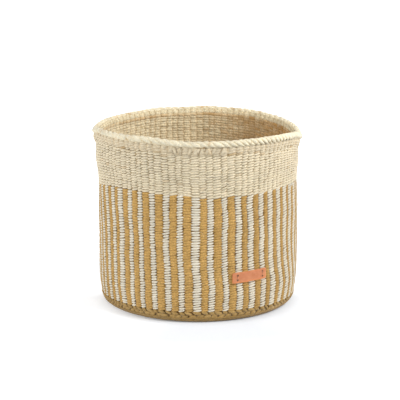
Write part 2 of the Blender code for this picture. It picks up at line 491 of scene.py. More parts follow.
@dataclass(frozen=True)
class SisalFinish:
    """Twined sisal: fine fibres along the strand, tone from strand to strand, painted shade in the tucks."""

    name: str
    pale: Colour
    warm: Colour
    dyed: Colour
    tuck: Colour
    tuck_share: float = 0.55
    tone_swing: float = 0.22
    relief: float = 0.7
    along: float = 0.4
    across: float = 5.0
    grain: float = 0.09
    sheen: float = 0.35
    patch_scale: float = 42.0
    speck_scale: float = 620.0
    relief_depth: float = 0.0003

    def material(self) -> bpy.types.Material:
        """Wire the finish.

        Returns:
            Its material.
        """
        work = Nodes(bpy.data.materials.new(self.name))
        strand, place = work.kept("strand", "Vector"), work.place()
        fibres = work.noise(work.stretched(strand, (self.along, self.across, 17.0)), 1.0, 4.0)
        fine = work.noise(work.stretched(strand, (self.along * 2.0, self.across * 3.0, 31.0)), 1.0)
        patches, specks = work.noise(place, self.patch_scale), work.noise(place, self.speck_scale)
        colour = work.blend(work.spread(fibres, 0.32, 0.68), self.pale, self.warm)
        dyed = work.blend(work.spread(fine, 0.3, 0.7, 0.0, 0.35), self.dyed, self.tuck)
        # The dye colour mixed in by the kept share: real dye and stray spots, and painted shade on the inside.
        colour = work.blend(work.kept("dye"), colour, dyed)
        swing = self.tone_swing / 2
        colour = work.brighten(colour, work.spread(work.kept("tone"), 0.0, 1.0, 1.0 - swing, 1.0 + swing))
        colour = work.brighten(colour, work.spread(patches, 0.3, 0.7, 0.95, 1.05))
        colour = work.brighten(colour, work.spread(specks, 0.3, 0.7, 1.0 - self.grain, 1.0 + self.grain))
        # Painted shade: mix towards the shade colour where the strand tucks into the weave and along its grooves.
        shade = work.spread(work.kept("tuck"), 0.0, 1.0, 0.0, self.tuck_share)
        work.join(work.blend(shade, colour, self.tuck), work.shader.inputs["Base Color"])
        work.join(work.spread(fine, 0.3, 0.7, 0.6, 0.88), work.shader.inputs["Roughness"])
        work.fill(work.shader, Specular_IOR_Level=0.22, Sheen_Weight=self.sheen, Sheen_Roughness=0.4)
        work.relief(work.reckon("ADD", fibres, fine), self.relief, self.relief_depth)
        return work.owner


@dataclass(frozen=True)
class LeatherFinish:
    """Smooth vegetable-tanned leather with pores, brighter cut edges and painted shade in its holes."""

    name: str
    face: Colour
    warm: Colour
    edge: Colour
    punched: Colour
    cloud_scale: float = 130.0
    grain_scale: float = 2600.0
    pore_scale: float = 2400.0
    relief: float = 0.35
    relief_depth: float = 0.0001

    def material(self) -> bpy.types.Material:
        """Wire the finish.

        Returns:
            Its material.
        """
        work = Nodes(bpy.data.materials.new(self.name))
        place = work.place()
        clouds, grain = work.noise(place, self.cloud_scale, 4.0), work.noise(place, self.grain_scale, 3.0)
        pores = work.add("ShaderNodeTexVoronoi", place)
        work.fill(pores, Scale=self.pore_scale)
        colour = work.blend(work.spread(clouds, 0.35, 0.65), self.face, self.warm)
        colour = work.brighten(colour, work.spread(grain, 0.3, 0.7, 0.95, 1.05))
        colour = work.blend(work.kept("edge"), colour, self.edge)
        colour = work.blend(work.kept("punched"), colour, self.punched)
        work.join(colour, work.shader.inputs["Base Color"])
        work.join(work.spread(clouds, 0.3, 0.7, 0.46, 0.62), work.shader.inputs["Roughness"])
        work.fill(work.shader, Specular_IOR_Level=0.4)
        work.relief(work.reckon("ADD", pores.outputs["Distance"], grain), self.relief, self.relief_depth)
        return work.owner


Finish = SisalFinish | LeatherFinish


class Palette:
    """Every finish of the basket."""

    # Each sisal finish lists its pale, warm and dyed colours, then the colour of its painted shade.
    cream = SisalFinish(
        "cream_sisal", srgb(238, 226, 200), srgb(226, 210, 177), srgb(196, 154, 96), srgb(184, 156, 98),
        tuck_share=0.5, tone_swing=0.14, relief=0.6, grain=0.15,
    )
    # The rope's sisal: a paler copy of the cream, painted light for the rim's lit top.
    rim = SisalFinish(
        "rim_sisal_painted_light", srgb(246, 237, 212), srgb(236, 223, 190), srgb(206, 162, 100), srgb(232, 208, 154),
        tuck_share=0.45, tone_swing=0.2, relief=0.6, grain=0.15,
    )
    striped = SisalFinish(
        "striped_sisal", srgb(236, 230, 213), srgb(219, 210, 188), srgb(206, 166, 98), srgb(166, 130, 72),
        tuck_share=0.65, tone_swing=0.18, relief=0.6, sheen=0.08,
    )
    ochre = SisalFinish(
        "ochre_sisal", srgb(205, 166, 100), srgb(187, 146, 79), srgb(232, 224, 206), srgb(150, 108, 48),
        tuck_share=0.5, tone_swing=0.26, relief=1.0, along=0.6, grain=0.24, sheen=0.04,
    )
    # The inner weft: a paler copy of the cream sisal, painted light for the dim inside; its dyed colour is the painted
    # warm shade of the inner right.
    inside = SisalFinish(
        "inside_sisal_painted_light", srgb(244, 237, 209), srgb(229, 213, 174), srgb(184, 127, 36), srgb(186, 144, 76),
        tuck_share=0.42, tone_swing=0.16, grain=0.28,
    )
    brown = SisalFinish(
        "brown_sisal", srgb(174, 140, 82), srgb(149, 117, 63), srgb(212, 176, 112), srgb(88, 62, 28),
        tuck_share=0.5, tone_swing=0.24,
    )
    hidden = SisalFinish("hidden_cord", srgb(176, 132, 72), srgb(150, 108, 54), srgb(240, 220, 182), srgb(130, 94, 48))
    # The last leather colour is the painted shade inside the holes.
    leather = LeatherFinish("tan_leather", srgb(210, 138, 96), srgb(196, 120, 80), srgb(236, 148, 86), srgb(70, 42, 26))
    thread = SisalFinish(
        "label_thread", srgb(236, 172, 130), srgb(224, 154, 112), srgb(222, 146, 104), srgb(120, 70, 36), relief=0.5
    )


@cache
def made(finish: Finish) -> bpy.types.Material:
    """Return a finish's material, made at the first call."""
    return finish.material()


def dress(item: Item, finish: Finish, slot: str, *stands_for: str) -> None:
    """Give a piece its finish, and tie it to the frame.

    Args:
        item: The finished piece.
        finish: What it is made of.
        slot: The record's material slot; not used.
        stands_for: The CAD nodes that it replaces.
    """
    item.data.materials.clear()
    item.data.materials.append(made(finish))
    item.data.shade_smooth()
    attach(item, "root")
    if stands_for:
        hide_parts(*stands_for)
    LOG.info("%s: %d faces", item.name, len(item.data.polygons))


# The shape that the maker's hands gave the basket
@dataclass(frozen=True)
class Wave:
    """A rise and fall round the basket, as (turns, cosine, sine) terms in metres."""

    terms: tuple[tuple[int, float, float], ...]

    def at(self, angle: Array) -> Array:
        """Add the terms up.

        Args:
            angle: Angles counted from +X.

        Returns:
            The rise at each angle.
        """
        total = np.zeros_like(angle)
        for turns, cosine, sine in self.terms:
            total += cosine * np.cos(turns * angle) + sine * np.sin(turns * angle)
        return total


@dataclass(frozen=True)
class HandShape:
    """Rolls flat cloth onto the basket, with the rim's wave, the wall's lean and the uneven foot.

    A bump is (place, width, rise): its place from the front and its width in degrees, its rise in metres.
    A waver of the seams is (size, turns, start), with its size in degrees.
    """

    first_rib_turn: float = math.radians(-1.4)
    rib_sway: float = math.radians(1.91)
    foot_turn: float = math.radians(0.9)
    foot_turn_right: float = math.radians(4.3)
    top_turn_left: float = math.radians(5.0)
    lean: float = -0.0007
    rim_lean: float = -0.0004
    swell: float = 0.0022
    rim_swell: float = 0.0016
    low_swell: float = 0.0006
    low_lean: float = 0.0004
    foot_fullness: float = 0.0008
    foot_right: float = -0.0026
    foot_left: float = -0.0026
    border_drop: float = 0.0019
    cuff: float = 0.0014
    rim_bumps: tuple[tuple[float, float, float], ...] = (
        (89.0, 15.0, -0.0078), (-92.0, 15.0, -0.0052), (141.0, 18.0, 0.0019), (-150.0, 14.0, 0.0009),
        (172.0, 8.0, 0.0006), (-171.0, 8.0, -0.0005), (-26.0, 11.0, 0.0016),
    )
    change_bumps: tuple[tuple[float, float, float], ...] = ((-9.0, 7.0, 0.0026), (19.0, 5.0, 0.0020))
    rim_wave: Wave = Wave(((1, -0.00176, 0.00038), (2, -0.00126, 0.00034), (3, -0.00041, -0.00159)))
    change_wave: Wave = Wave(((1, 0.00024, -0.00168), (2, -0.00173, -0.0001), (3, 0.00211, -0.00337)))
    first_stripe: float = -16.0
    stripe_widths: tuple[float, ...] = (
        0.04, -0.03, 0.11, -0.14, -0.17, -0.18, 0.05, -0.27, 0.18,
        -0.05, -0.3, 0.19, 0.04, -0.06, 0.34, -0.15, 0.16, 0.22,
    )
    seam_wavers: tuple[tuple[float, float, float], ...] = ((0.26, 19.0, 1.3), (0.17, 31.0, 4.0))
    row_waver: float = math.radians(0.22)
    dimple: float = 0.00018
    reach: float = 0.0012

    def profile(self) -> tuple[Array, Array]:
        """Trace the outer face from the middle of the underside outwards and up.

        Returns:
            Its (radius, height) points, and their distances along it.
        """
        points = [(0.0, 0.0), (UNDERSIDE_RADIUS, 0.0)]
        for step in range(1, 13):
            turn = math.pi / 2 * step / 12
            wide = (HEEL_RADIUS - UNDERSIDE_RADIUS) * math.sin(turn)
            points.append((UNDERSIDE_RADIUS + wide, HEEL_HEIGHT * (1 - math.cos(turn))))
        for step in range(1, 17):
            rise = step / 16
            inset = (WALL_RADIUS - HEEL_RADIUS) * (1 - rise) ** 1.8
            points.append((WALL_RADIUS - inset, HEEL_HEIGHT + (TAPER_TOP - HEEL_HEIGHT) * rise))
        points.append((WALL_RADIUS, 0.4))
        places = np.array(points)
        steps = np.hypot(*np.diff(places, axis=0).T)
        return places, np.concatenate(([0.0], np.cumsum(steps)))

    def distance_at(self, height: float) -> float:
        """Return the distance along the profile at a height on the wall."""
        places, distances = self.profile()
        return float(np.interp(height, places[1:, 1], distances[1:]))

    def spot(self, distance: Array) -> tuple[Array, Array]:
        """Return the radius and the height at distances along the profile."""
        places, distances = self.profile()
        return np.interp(distance, distances, places[:, 0]), np.interp(distance, distances, places[:, 1])

    def seam_shift(self, ribs: Array) -> Array:
        """Move the seams so that each cream stripe in front gets a width of its own.

        Args:
            ribs: Places round the basket, counted in ribs from the front one.

        Returns:
            How far each place moves, in ribs.
        """
        extra = np.concatenate(([0.0], self.stripe_widths, [0.0])) / 2
        centres = self.first_stripe + 2.0 * np.arange(-1, len(extra) - 1)
        places = centres[:, None] + np.array([-0.5, 0.0, 0.5])
        shifts = extra[:, None] * np.array([-1.0, 0.0, 1.0])
        around = np.mod(ribs + RIBS / 2, RIBS) - RIBS / 2
        return np.interp(around, places.ravel(), shifts.ravel())

    def roll(self, ribs: Array, distance: Array, proud: Array) -> Array:
        """Roll cloth onto the basket.

        Args:
            ribs: The place round the basket, counted in ribs from the front one.
            distance: The distance along the profile.
            proud: How far out of the outer face.

        Returns:
            The points in the basket's frame.
        """
        radius, height = self.spot(distance)
        (before_r, before_h), (after_r, after_h) = self.spot(distance - self.reach), self.spot(distance + self.reach)
        along_r, along_h = after_r - before_r, after_h - before_h
        length = np.maximum(np.hypot(along_r, along_h), 1e-9)
        radius = radius + along_h / length * proud
        height = height - along_r / length * proud
        turn = (ribs + self.seam_shift(ribs)) * RIB_TURN
        sway = np.where(np.cos(turn) > 0.0, np.sin(3.0 * turn), -np.sin(turn))
        angle = turn + self.first_rib_turn + self.rib_sway * sway
        for size, turns, start in self.seam_wavers:
            angle = angle + math.radians(size) * np.sin(turns * turn + start)
        waver = np.sin(55.0 * height + 5.0 * turn) + 0.7 * np.sin(131.0 * height + 9.0 * turn + 1.0)
        angle = angle + self.row_waver * waver * smooth_step(0.015, 0.04, height)
        low_down = 1.0 - smooth_step(0.03, 0.09, height)
        angle = angle + self.foot_turn * low_down
        angle = angle + self.foot_turn_right * low_down ** 2 * clamp(np.sin(turn)) ** 2
        angle = angle - self.top_turn_left * smooth_step(0.09, 0.15, height) * clamp(-np.sin(turn)) ** 4
        basis = angle - math.pi / 2
        up = smooth_step(0.153, 0.206, height)
        middle = between(0.04, 0.153, 0.153, 0.206, height)
        lift = middle * self.change_wave.at(basis) + up * self.rim_wave.at(basis)
        for share, bumps in ((middle, self.change_bumps), (up, self.rim_bumps)):
            for place, width, rise in bumps:
                lift = lift + rise * share * near(angle, math.radians(place), math.radians(width))
        right, left = clamp(np.sin(angle)), clamp(-np.sin(angle))
        lift = lift - self.border_drop * between(0.004, 0.0135, 0.0135, 0.045, height) * right ** 2
        top, rim = smooth_step(0.160, 0.188, height), smooth_step(0.196, 0.216, height)
        low = between(0.02, 0.05, 0.12, 0.15, height)
        radius = radius + self.low_swell * low + self.swell * top + (self.rim_swell - self.swell) * rim
        radius = radius + self.cuff * between(0.204, 0.209, 0.214, 0.218, height) * left ** 2
        full = between(0.106, 0.114, 0.1155, 0.127, distance)
        side = self.foot_right * right + self.foot_left * left
        radius = radius + full * (self.foot_fullness * np.abs(np.cos(angle)) ** 3 + side)
        radius = radius + self.dimple * np.sin(7.0 * angle + 31.0 * height) * smooth_step(0.012, 0.04, height)
        x = radius * np.sin(angle) + self.low_lean * low + self.lean * top + (self.rim_lean - self.lean) * rim
        y = -radius * np.cos(angle)
        return np.stack((x, y, np.maximum(height + lift, 0.0)), axis=-1)


SHAPE = HandShape()


class Side(Enum):
    """The side of the weave that a strand shows on."""

    OUTER = 1
    INNER = 2


# Strands
@dataclass(frozen=True)
class Float:
    """One visible length of weft: it lies over a rib and dives into the valley at both ends."""

    length: float = 0.0100
    height: float = 0.0034
    thickness: float = 0.0022
    dive: float = 0.0011
    slant: float = math.radians(9.0)
    sides: int = 8
    stations: tuple[float, ...] = (-1.0, -0.68, -0.26, 0.26, 0.68, 1.0)
    end_height: float = 0.3
    end_thickness: float = 0.6
    tuck_from: float = 0.68
    seam: float = 0.5

    def centre(self, share: float) -> float:
        """Return how deep the strand's middle lies at a share of its half length."""
        return self.thickness / 2 + self.dive * abs(share) ** 2.4

    def girth(self, share: float) -> tuple[float, float]:
        """Let the strand grow thinner towards its ends.

        Args:
            share: The share of the half length.

        Returns:
            The thickness and the height there.
        """
        taper = abs(share) ** 2.2
        thick = self.thickness * (1 + (self.end_thickness - 1) * taper)
        return thick, self.height * (1 + (self.end_height - 1) * taper)

    def model(self) -> Item:
        """Model the strand from a disc, extruded station by station.

        Returns:
            The closed strand, lying along x with its crown at y = 0, towards -Y.
        """
        deselect_all()
        bpy.ops.mesh.primitive_circle_add(
            vertices=self.sides, radius=0.5, fill_type="NGON", rotation=(0.0, math.pi / 2, 0.0)
        )
        item = named("float")
        apply_place(item)
        half = self.length / 2
        thick, high = self.girth(self.stations[0])
        middle = (self.stations[0] * half, self.centre(self.stations[0]), 0.0)
        with editing(item):
            bpy.ops.transform.resize(value=(1.0, thick, high))
            bpy.ops.transform.translate(value=middle)
            for share in self.stations[1:]:
                place = (share * half, self.centre(share), 0.0)
                step = tuple(after - before for after, before in zip(place, middle))
                bpy.ops.mesh.extrude_region_move(TRANSFORM_OT_translate={"value": step})
                next_thick, next_high = self.girth(share)
                bpy.ops.transform.resize(value=(1.0, next_thick / thick, next_high / high), center_override=place)
                middle, thick, high = place, next_thick, next_high
        close_ends(item)
        face_outwards(item)
        self.mark(item)
        return item

    def mark(self, item: Item) -> None:
        """Keep the place along and round the strand, and the painted shade of each corner at its diving ends and along
        its top and bottom edges.

        Args:
            item: The strand.
        """
        points = points_of(item)
        share = np.abs(points[:, 0]) / (self.length / 2)
        centre = self.thickness / 2 + self.dive * share**2.4
        across = points[:, 2] / (self.height / 2)
        around = np.arctan2(points[:, 2] / self.height, (centre - points[:, 1]) / self.thickness)
        strand = np.stack((points[:, 0] * 1000, around / math.pi, np.zeros(len(points))), axis=-1)
        # Painted shade where the strand dives into the valleys and along the grooves between rows.
        ends = clamp((share - self.tuck_from) / (1.0 - self.tuck_from)) ** 1.5
        seams = self.seam * clamp(np.abs(across) - 0.45) / 0.55
        keep(item, strand=strand, tuck=clamp(ends + seams))


def turn_inside_out(item: Item) -> None:
    """Flip a mesh's faces, for a piece that will be mirrored."""
    with editing(item):
        bpy.ops.mesh.flip_normals()


def close_ends(item: Item) -> None:
    """Close any open end of a mesh with one face.

    Args:
        item: The mesh.
    """
    with editing(item):
        bpy.ops.mesh.select_all(action="DESELECT")
        bpy.ops.mesh.select_mode(type="EDGE")
        bpy.ops.mesh.select_non_manifold()
        work = bmesh.from_edit_mesh(item.data)
        if any(edge.select for edge in work.edges):
            bpy.ops.mesh.edge_face_add()
        bpy.ops.mesh.select_mode(type="VERT")


@dataclass(frozen=True)
class Row:
    """One row of weft: its middle along the profile and its height, in metres."""

    middle: float
    height: float
    proud: float = 0.0


def even_rows(start: float, end: float, count: int, proud: float = 0.0) -> list[Row]:
    """Share a stretch of the profile out into rows.

    Args:
        start: The distance at which the first row starts.
        end: The distance at which the last row ends.
        count: The number of rows.
        proud: How far they stand out of the face.

    Returns:
        The rows, from the start to the end.
    """
    pitch = (end - start) / count
    return [Row(start + pitch * (number + 0.5), pitch, proud) for number in range(count)]


@dataclass(frozen=True)
class Unsettled:
    """How much a hand varies each float: its width, place and height as shares, the rest in metres and radians."""

    width: float = 0.045
    place: float = 0.035
    height: float = 0.05
    proud: float = 0.00011
    slant: float = math.radians(2.2)
    drift: float = 0.00007


@dataclass
class Cloth:
    """A woven stretch: one float copied over ribs and rows, then rolled onto the basket."""

    name: str
    strand: Float
    rows: Sequence[Row]
    first_rib: float = 0.0
    rib_step: float = 1.0
    ribs: int = RIBS
    span: float = 1.0
    side: Side = Side.OUTER
    seed: int = 1
    drawn_height: float = 0.00326
    unevenness: float = 1.0
    # Mean tone, then painted shade towards the right and towards both sides, where light falls on the wall differently.
    tone_and_painted_shade: tuple[float, float, float] = (0.5, 0.0, 0.0)
    rib_tone: float = 0.07
    row_tone: float = 0.09
    float_tone: float = 0.17
    hand: Unsettled = Unsettled()
    dyed: Callable[[Array, Array, Luck], Array] | None = None
    fullness: Callable[[Array], Array] | None = None

    def weave(self) -> Item:
        """Copy the float, unsettle each copy a little as a hand does, and roll the cloth.

        Returns:
            The woven piece.
        """
        item = self.strand.model()
        item.name = item.data.name = self.name
        if self.side is Side.INNER:
            turn_inside_out(item)
        pattern = points_of(item)
        copy_along(item, self.ribs, (RIB_PITCH * self.rib_step, 0.0, 0.0))
        copy_along(item, len(self.rows), (0.0, 0.0, self.rows[0].height))
        self.settle(item, pattern)
        return item

    def settle(self, item: Item, pattern: Array) -> None:
        """Put every float in its place on the basket.

        Args:
            item: The object that holds all the copies.
            pattern: The corners of one float.
        """
        luck = np.random.default_rng(self.seed)
        rows, ribs = len(self.rows), self.ribs
        shape = (rows, ribs)
        row_number = np.arange(rows)[:, None] + np.zeros(shape)
        rib_number = self.first_rib + self.rib_step * np.arange(ribs)[None, :] + np.zeros(shape)
        rough, hand = self.unevenness, self.hand
        wider = 1.0 + rough * luck.normal(0.0, hand.width, shape)
        if self.fullness is not None:
            wider = wider * self.fullness(rib_number)
        shift = rough * luck.normal(0.0, hand.place, shape)
        taller = 1.0 + rough * luck.normal(0.0, hand.height, shape)
        proud = np.array([[row.proud] for row in self.rows]) + rough * luck.normal(0.0, hand.proud, shape)
        slant = np.tan(self.strand.slant + rough * luck.normal(0.0, hand.slant, shape))
        drift = rough * (
            0.00022 * np.sin(0.31 * rib_number + 0.23 * row_number)
            + 0.00016 * np.sin(0.83 * rib_number - 0.41 * row_number + 2.0)
            + luck.normal(0.0, hand.drift, shape)
        )
        middles = np.array([row.middle for row in self.rows])[:, None]
        heights = np.array([row.height for row in self.rows])[:, None]
        across, deep, up = (pattern[:, axis][None, None, :] for axis in range(3))
        x = across / RIB_PITCH * self.span * wider[..., None] + (rib_number + shift)[..., None]
        scale = heights / self.drawn_height
        rise = (up * taller[..., None] + across * slant[..., None]) * scale[..., None]
        distance = middles[..., None] + rise + drift[..., None]
        out = proud[..., None] - deep
        if self.side is Side.INNER:
            out = -WALL_THICKNESS - out
        set_points(item, SHAPE.roll(x, distance, out).reshape(-1, 3))
        self.colour(item, len(pattern), row_number, rib_number, luck)

    def colour(self, item: Item, corners: int, rows: Array, ribs: Array, luck: Luck) -> None:
        """Give each float its own tone, which carries painted shade by place, its seed and its dye, which on the inside
        carries painted shade.

        Args:
            item: The woven piece.
            corners: The number of corners of one float.
            rows: The row number of each float.
            ribs: The rib number of each float.
            luck: The source of chance.
        """
        shape = rows.shape
        by_row = luck.normal(0.0, self.row_tone, (shape[0], 1)) * np.ones(shape)
        # Painted shade by place: the tone falls towards the right and towards both sides.
        mean, right, sides = self.tone_and_painted_shade
        across = np.sin(ribs * RIB_TURN)
        painted_shade_by_place = mean - right * across - sides * across**2
        by_rib = luck.normal(0.0, self.rib_tone, (1, shape[1]))
        tone = clamp(painted_shade_by_place + by_row + by_rib + luck.normal(0.0, self.float_tone, shape))
        dye = np.zeros(shape) if self.dyed is None else self.dyed(rows, ribs, luck)
        keep(item, tone=np.repeat(tone.ravel(), corners), dye=np.repeat(dye.ravel(), corners))
        strand = item.data.attributes["strand"]
        flat = np.empty(len(item.data.vertices) * 3, dtype=np.float32)
        strand.data.foreach_get("vector", flat)
        flat = flat.reshape(-1, 3)
        flat[:, 2] = np.repeat(luck.random(shape).ravel() * 10.0, corners)
        strand.data.foreach_set("vector", flat.ravel())


# Sub-assemblies
def stray_spots(rows: Array, ribs: Array, luck: Luck) -> Array:
    """Give a few cream floats the brown cast of unbleached fibre."""
    picked = luck.random(rows.shape) < 0.015
    return picked * luck.uniform(0.15, 0.4, rows.shape)


def painted_shade_inside(rows: Array, ribs: Array, luck: Luck) -> Array:
    """Paint shade into the inner weft as dye: warmer and darker towards the right, where the inside lies in shade, a
    darker row just below the top two, and paler top two rows at the hem, paler still on the right as painted light.

    Args:
        rows: The row number of each float.
        ribs: The rib number of each float.
        luck: The source of chance.

    Returns:
        The share of the dye colour, here painted shade, in each float.
    """
    right = np.sin(ribs * RIB_TURN)
    share = 0.16 + 0.7 * right + luck.normal(0.0, 0.09, rows.shape)
    share = np.clip(share, 0.13, 1.0)
    share = np.where(rows == rows.max() - 2, luck.uniform(0.15, 0.55, rows.shape) + 0.42 * share, share)
    share = share * np.where(rows > rows.max() - 2, 0.35 - 0.3 * clamp(right), 1.0)
    return clamp(share)


def fuller_right(ribs: Array) -> Array:
    """Let the cream floats lie narrower in front and wider at the far right.

    Args:
        ribs: Places round the basket, counted in ribs from the front one.

    Returns:
        The share of its own width that each float gets.
    """
    turn = np.degrees(np.mod(ribs * RIB_TURN + math.pi, math.tau) - math.pi)
    front = between(-42.0, -30.0, 38.0, 50.0, turn)
    return 1.0 - 0.1 * front + 0.1 * smooth_step(44.0, 60.0, turn)


def ragged_change(rows: Array, ribs: Array, luck: Luck) -> Array:
    """Leave a few floats of the last ochre row undyed, so that the colour change steps."""
    last = rows.max()
    return ((rows == last) & (luck.random(rows.shape) < 0.12)) * 1.0


@dataclass
class Wall:
    """The wall: cream and ochre ribs below, a cream band above, and both inner sides."""

    striped_rows: int = 45
    cream_rows: int = 16
    cream_float: Float = Float(length=0.0102, thickness=0.0014, dive=0.0008, seam=0.9)
    ochre_float: Float = Float(
        length=0.0094, height=0.0037, thickness=0.0017, dive=0.0012, end_height=0.7, tuck_from=0.6
    )
    band_float: Float = Float(dive=0.0012, tuck_from=0.62, slant=math.radians(10.0), seam=0.85)
    inner_float: Float = Float(
        length=0.0096, height=0.0051, thickness=0.0013, slant=math.radians(3.0), sides=6,
        stations=(-1.0, -0.6, 0.0, 0.6, 1.0), dive=0.0008, end_height=0.8, end_thickness=0.7, tuck_from=0.3,
        seam=0.3,
    )

    def build(self) -> None:
        """Weave every stretch of the wall."""
        border = SHAPE.distance_at(BORDER_TOP)
        change = SHAPE.distance_at(COLOUR_CHANGE)
        hem = SHAPE.distance_at(HEM_BOTTOM)
        striped = even_rows(border, change, self.striped_rows)
        band = even_rows(change, hem, self.cream_rows)
        half = RIBS // 2
        cream = Cloth(
            "wall_cream_ribs", self.cream_float, striped, 0.0, 2.0, half, seed=11,
            tone_and_painted_shade=(0.7, 0.35, 0.5), fullness=fuller_right,
        )
        ochre = Cloth(
            "wall_ochre_ribs", self.ochre_float, striped, 1.0, 2.0, half, seed=12,
            tone_and_painted_shade=(0.85, 0.6, 1.05), dyed=ragged_change,
        )
        upper = Cloth(
            "wall_cream_band", self.band_float, band, seed=13, unevenness=1.1, tone_and_painted_shade=(0.5, 0.12, 0.0), dyed=stray_spots
        )
        dress(cream.weave(), Palette.striped, "striped_sisal")
        dress(ochre.weave(), Palette.ochre, "striped_sisal", "wall_outer_striped")
        dress(upper.weave(), Palette.cream, "cream_sisal", "wall_outer_cream")
        self.build_inside(border, change, hem)

    def build_inside(self, border: float, change: float, hem: float) -> None:
        """Weave the side of the wall that faces the inside.

        Args:
            border: The distance at the top of the foot border.
            change: The distance at the colour change.
            hem: The distance at the hem's lower seam.
        """
        half = RIBS // 2
        corner = Row(UNDERSIDE_RADIUS + 0.0065, 0.0105)
        low = [corner] + even_rows(corner.middle + 0.0055, border, 2) + even_rows(border, change, self.striped_rows)
        top = even_rows(change, hem + 0.0092, self.cream_rows + 3)
        top += [Row(hem + 0.0108, 0.0036, -0.0006), Row(hem + 0.0130, 0.0039, -0.0019)]
        for name, first, finish, seed in (
            ("inside_cream_ribs", 1.0, Palette.inside, 21),
            ("inside_ochre_ribs", 0.0, Palette.ochre, 22),
        ):
            cloth = Cloth(name, self.inner_float, low, first, 2.0, half, 1.0, Side.INNER, seed)
            dress(cloth.weave(), finish, "tan_sisal")
        upper = Cloth(
            "inside_upper", self.inner_float, top, side=Side.INNER, seed=23, unevenness=0.6, rib_tone=0.2,
            dyed=painted_shade_inside,
        )
        dress(upper.weave(), Palette.inside, "tan_sisal", "wall_inner_face")


@dataclass
class Base:
    """The round base, woven on both sides from the knot out to the foot."""

    knot_radius: float = 0.008
    tiers: tuple[tuple[float, int, int], ...] = ((0.0211, 24, 4), (0.0441, 48, 7), (0.113, 96, 21))
    strand: Float = Float(sides=6, stations=(-1.0, -0.5, 0.0, 0.5, 1.0), height=0.0034)

    def build(self) -> None:
        """Weave the underside and the inside of the base."""
        for side, finish, slot, node in (
            (Side.OUTER, Palette.brown, "brown_sisal", "base_outer_face"),
            (Side.INNER, Palette.inside, "tan_sisal", "base_inner_face"),
        ):
            item = join_as(node.replace("_face", "_weave"), list(self.tier_pieces(side)))
            dress(item, finish, slot, node)

    def tier_pieces(self, side: Side) -> Iterator[Item]:
        """Weave each tier of the base, with more ribs further out.

        Args:
            side: The side of the base.

        Yields:
            One woven ring for each tier.
        """
        start = self.knot_radius
        for number, (end, ribs, rows) in enumerate(self.tiers):
            step = RIBS / ribs
            cloth = Cloth(
                f"base_tier_{side.name.lower()}_{number}", self.strand, even_rows(start, end, rows),
                (step + 1) / 2, step, ribs, step, side, seed=40 + number + 10 * side.value,
            )
            yield cloth.weave()
            start = end


@dataclass
class FootBorder:
    """Heavier twined rows that turn the wall into the base: a plaited pair over flat ones."""

    plait_height: float = 0.0078
    plait_proud: float = 0.0005
    heel_proud: float = 0.0003
    plaited: Float = Float(
        length=0.0088, height=0.0040, thickness=0.0024, dive=0.0013, slant=math.radians(17.0),
        end_height=0.4, tuck_from=0.6,
    )
    flat: Float = Float(
        length=0.0140, height=0.0038, thickness=0.0020, dive=0.0004, slant=math.radians(4.0),
        end_height=0.8, tuck_from=0.9,
    )

    def build(self) -> None:
        """Weave the border's rows."""
        end = SHAPE.distance_at(BORDER_TOP)
        split = end - self.plait_height
        half = (split + end) / 2
        heel = even_rows(UNDERSIDE_RADIUS - 0.001, split + 0.0006, 4, self.heel_proud)
        parts = [Cloth("heel_rows", self.flat, heel, seed=31, unevenness=0.8).weave()]
        low_strand = replace(self.plaited, slant=self.plaited.slant * 0.5, dive=0.0006, thickness=0.0020)
        high_strand = replace(self.plaited, slant=-self.plaited.slant * 0.85, dive=0.0010)
        low, high = even_rows(split, half, 1), even_rows(half, end, 1, self.plait_proud)
        for number, (strand, row, first) in enumerate(((low_strand, low, 0.5), (high_strand, high, 0.0))):
            name = f"plait_row_{number}"
            cloth = Cloth(name, strand, row, first, seed=32 + number, unevenness=1.8, dyed=self.lighter)
            parts.append(cloth.weave())
        dress(join_as("foot_border_weave", parts), Palette.brown, "brown_sisal", "foot_border")

    @staticmethod
    def lighter(rows: Array, ribs: Array, luck: Luck) -> Array:
        """Lighten the plaited rows, strand by strand."""
        return luck.uniform(0.15, 0.6, rows.shape)


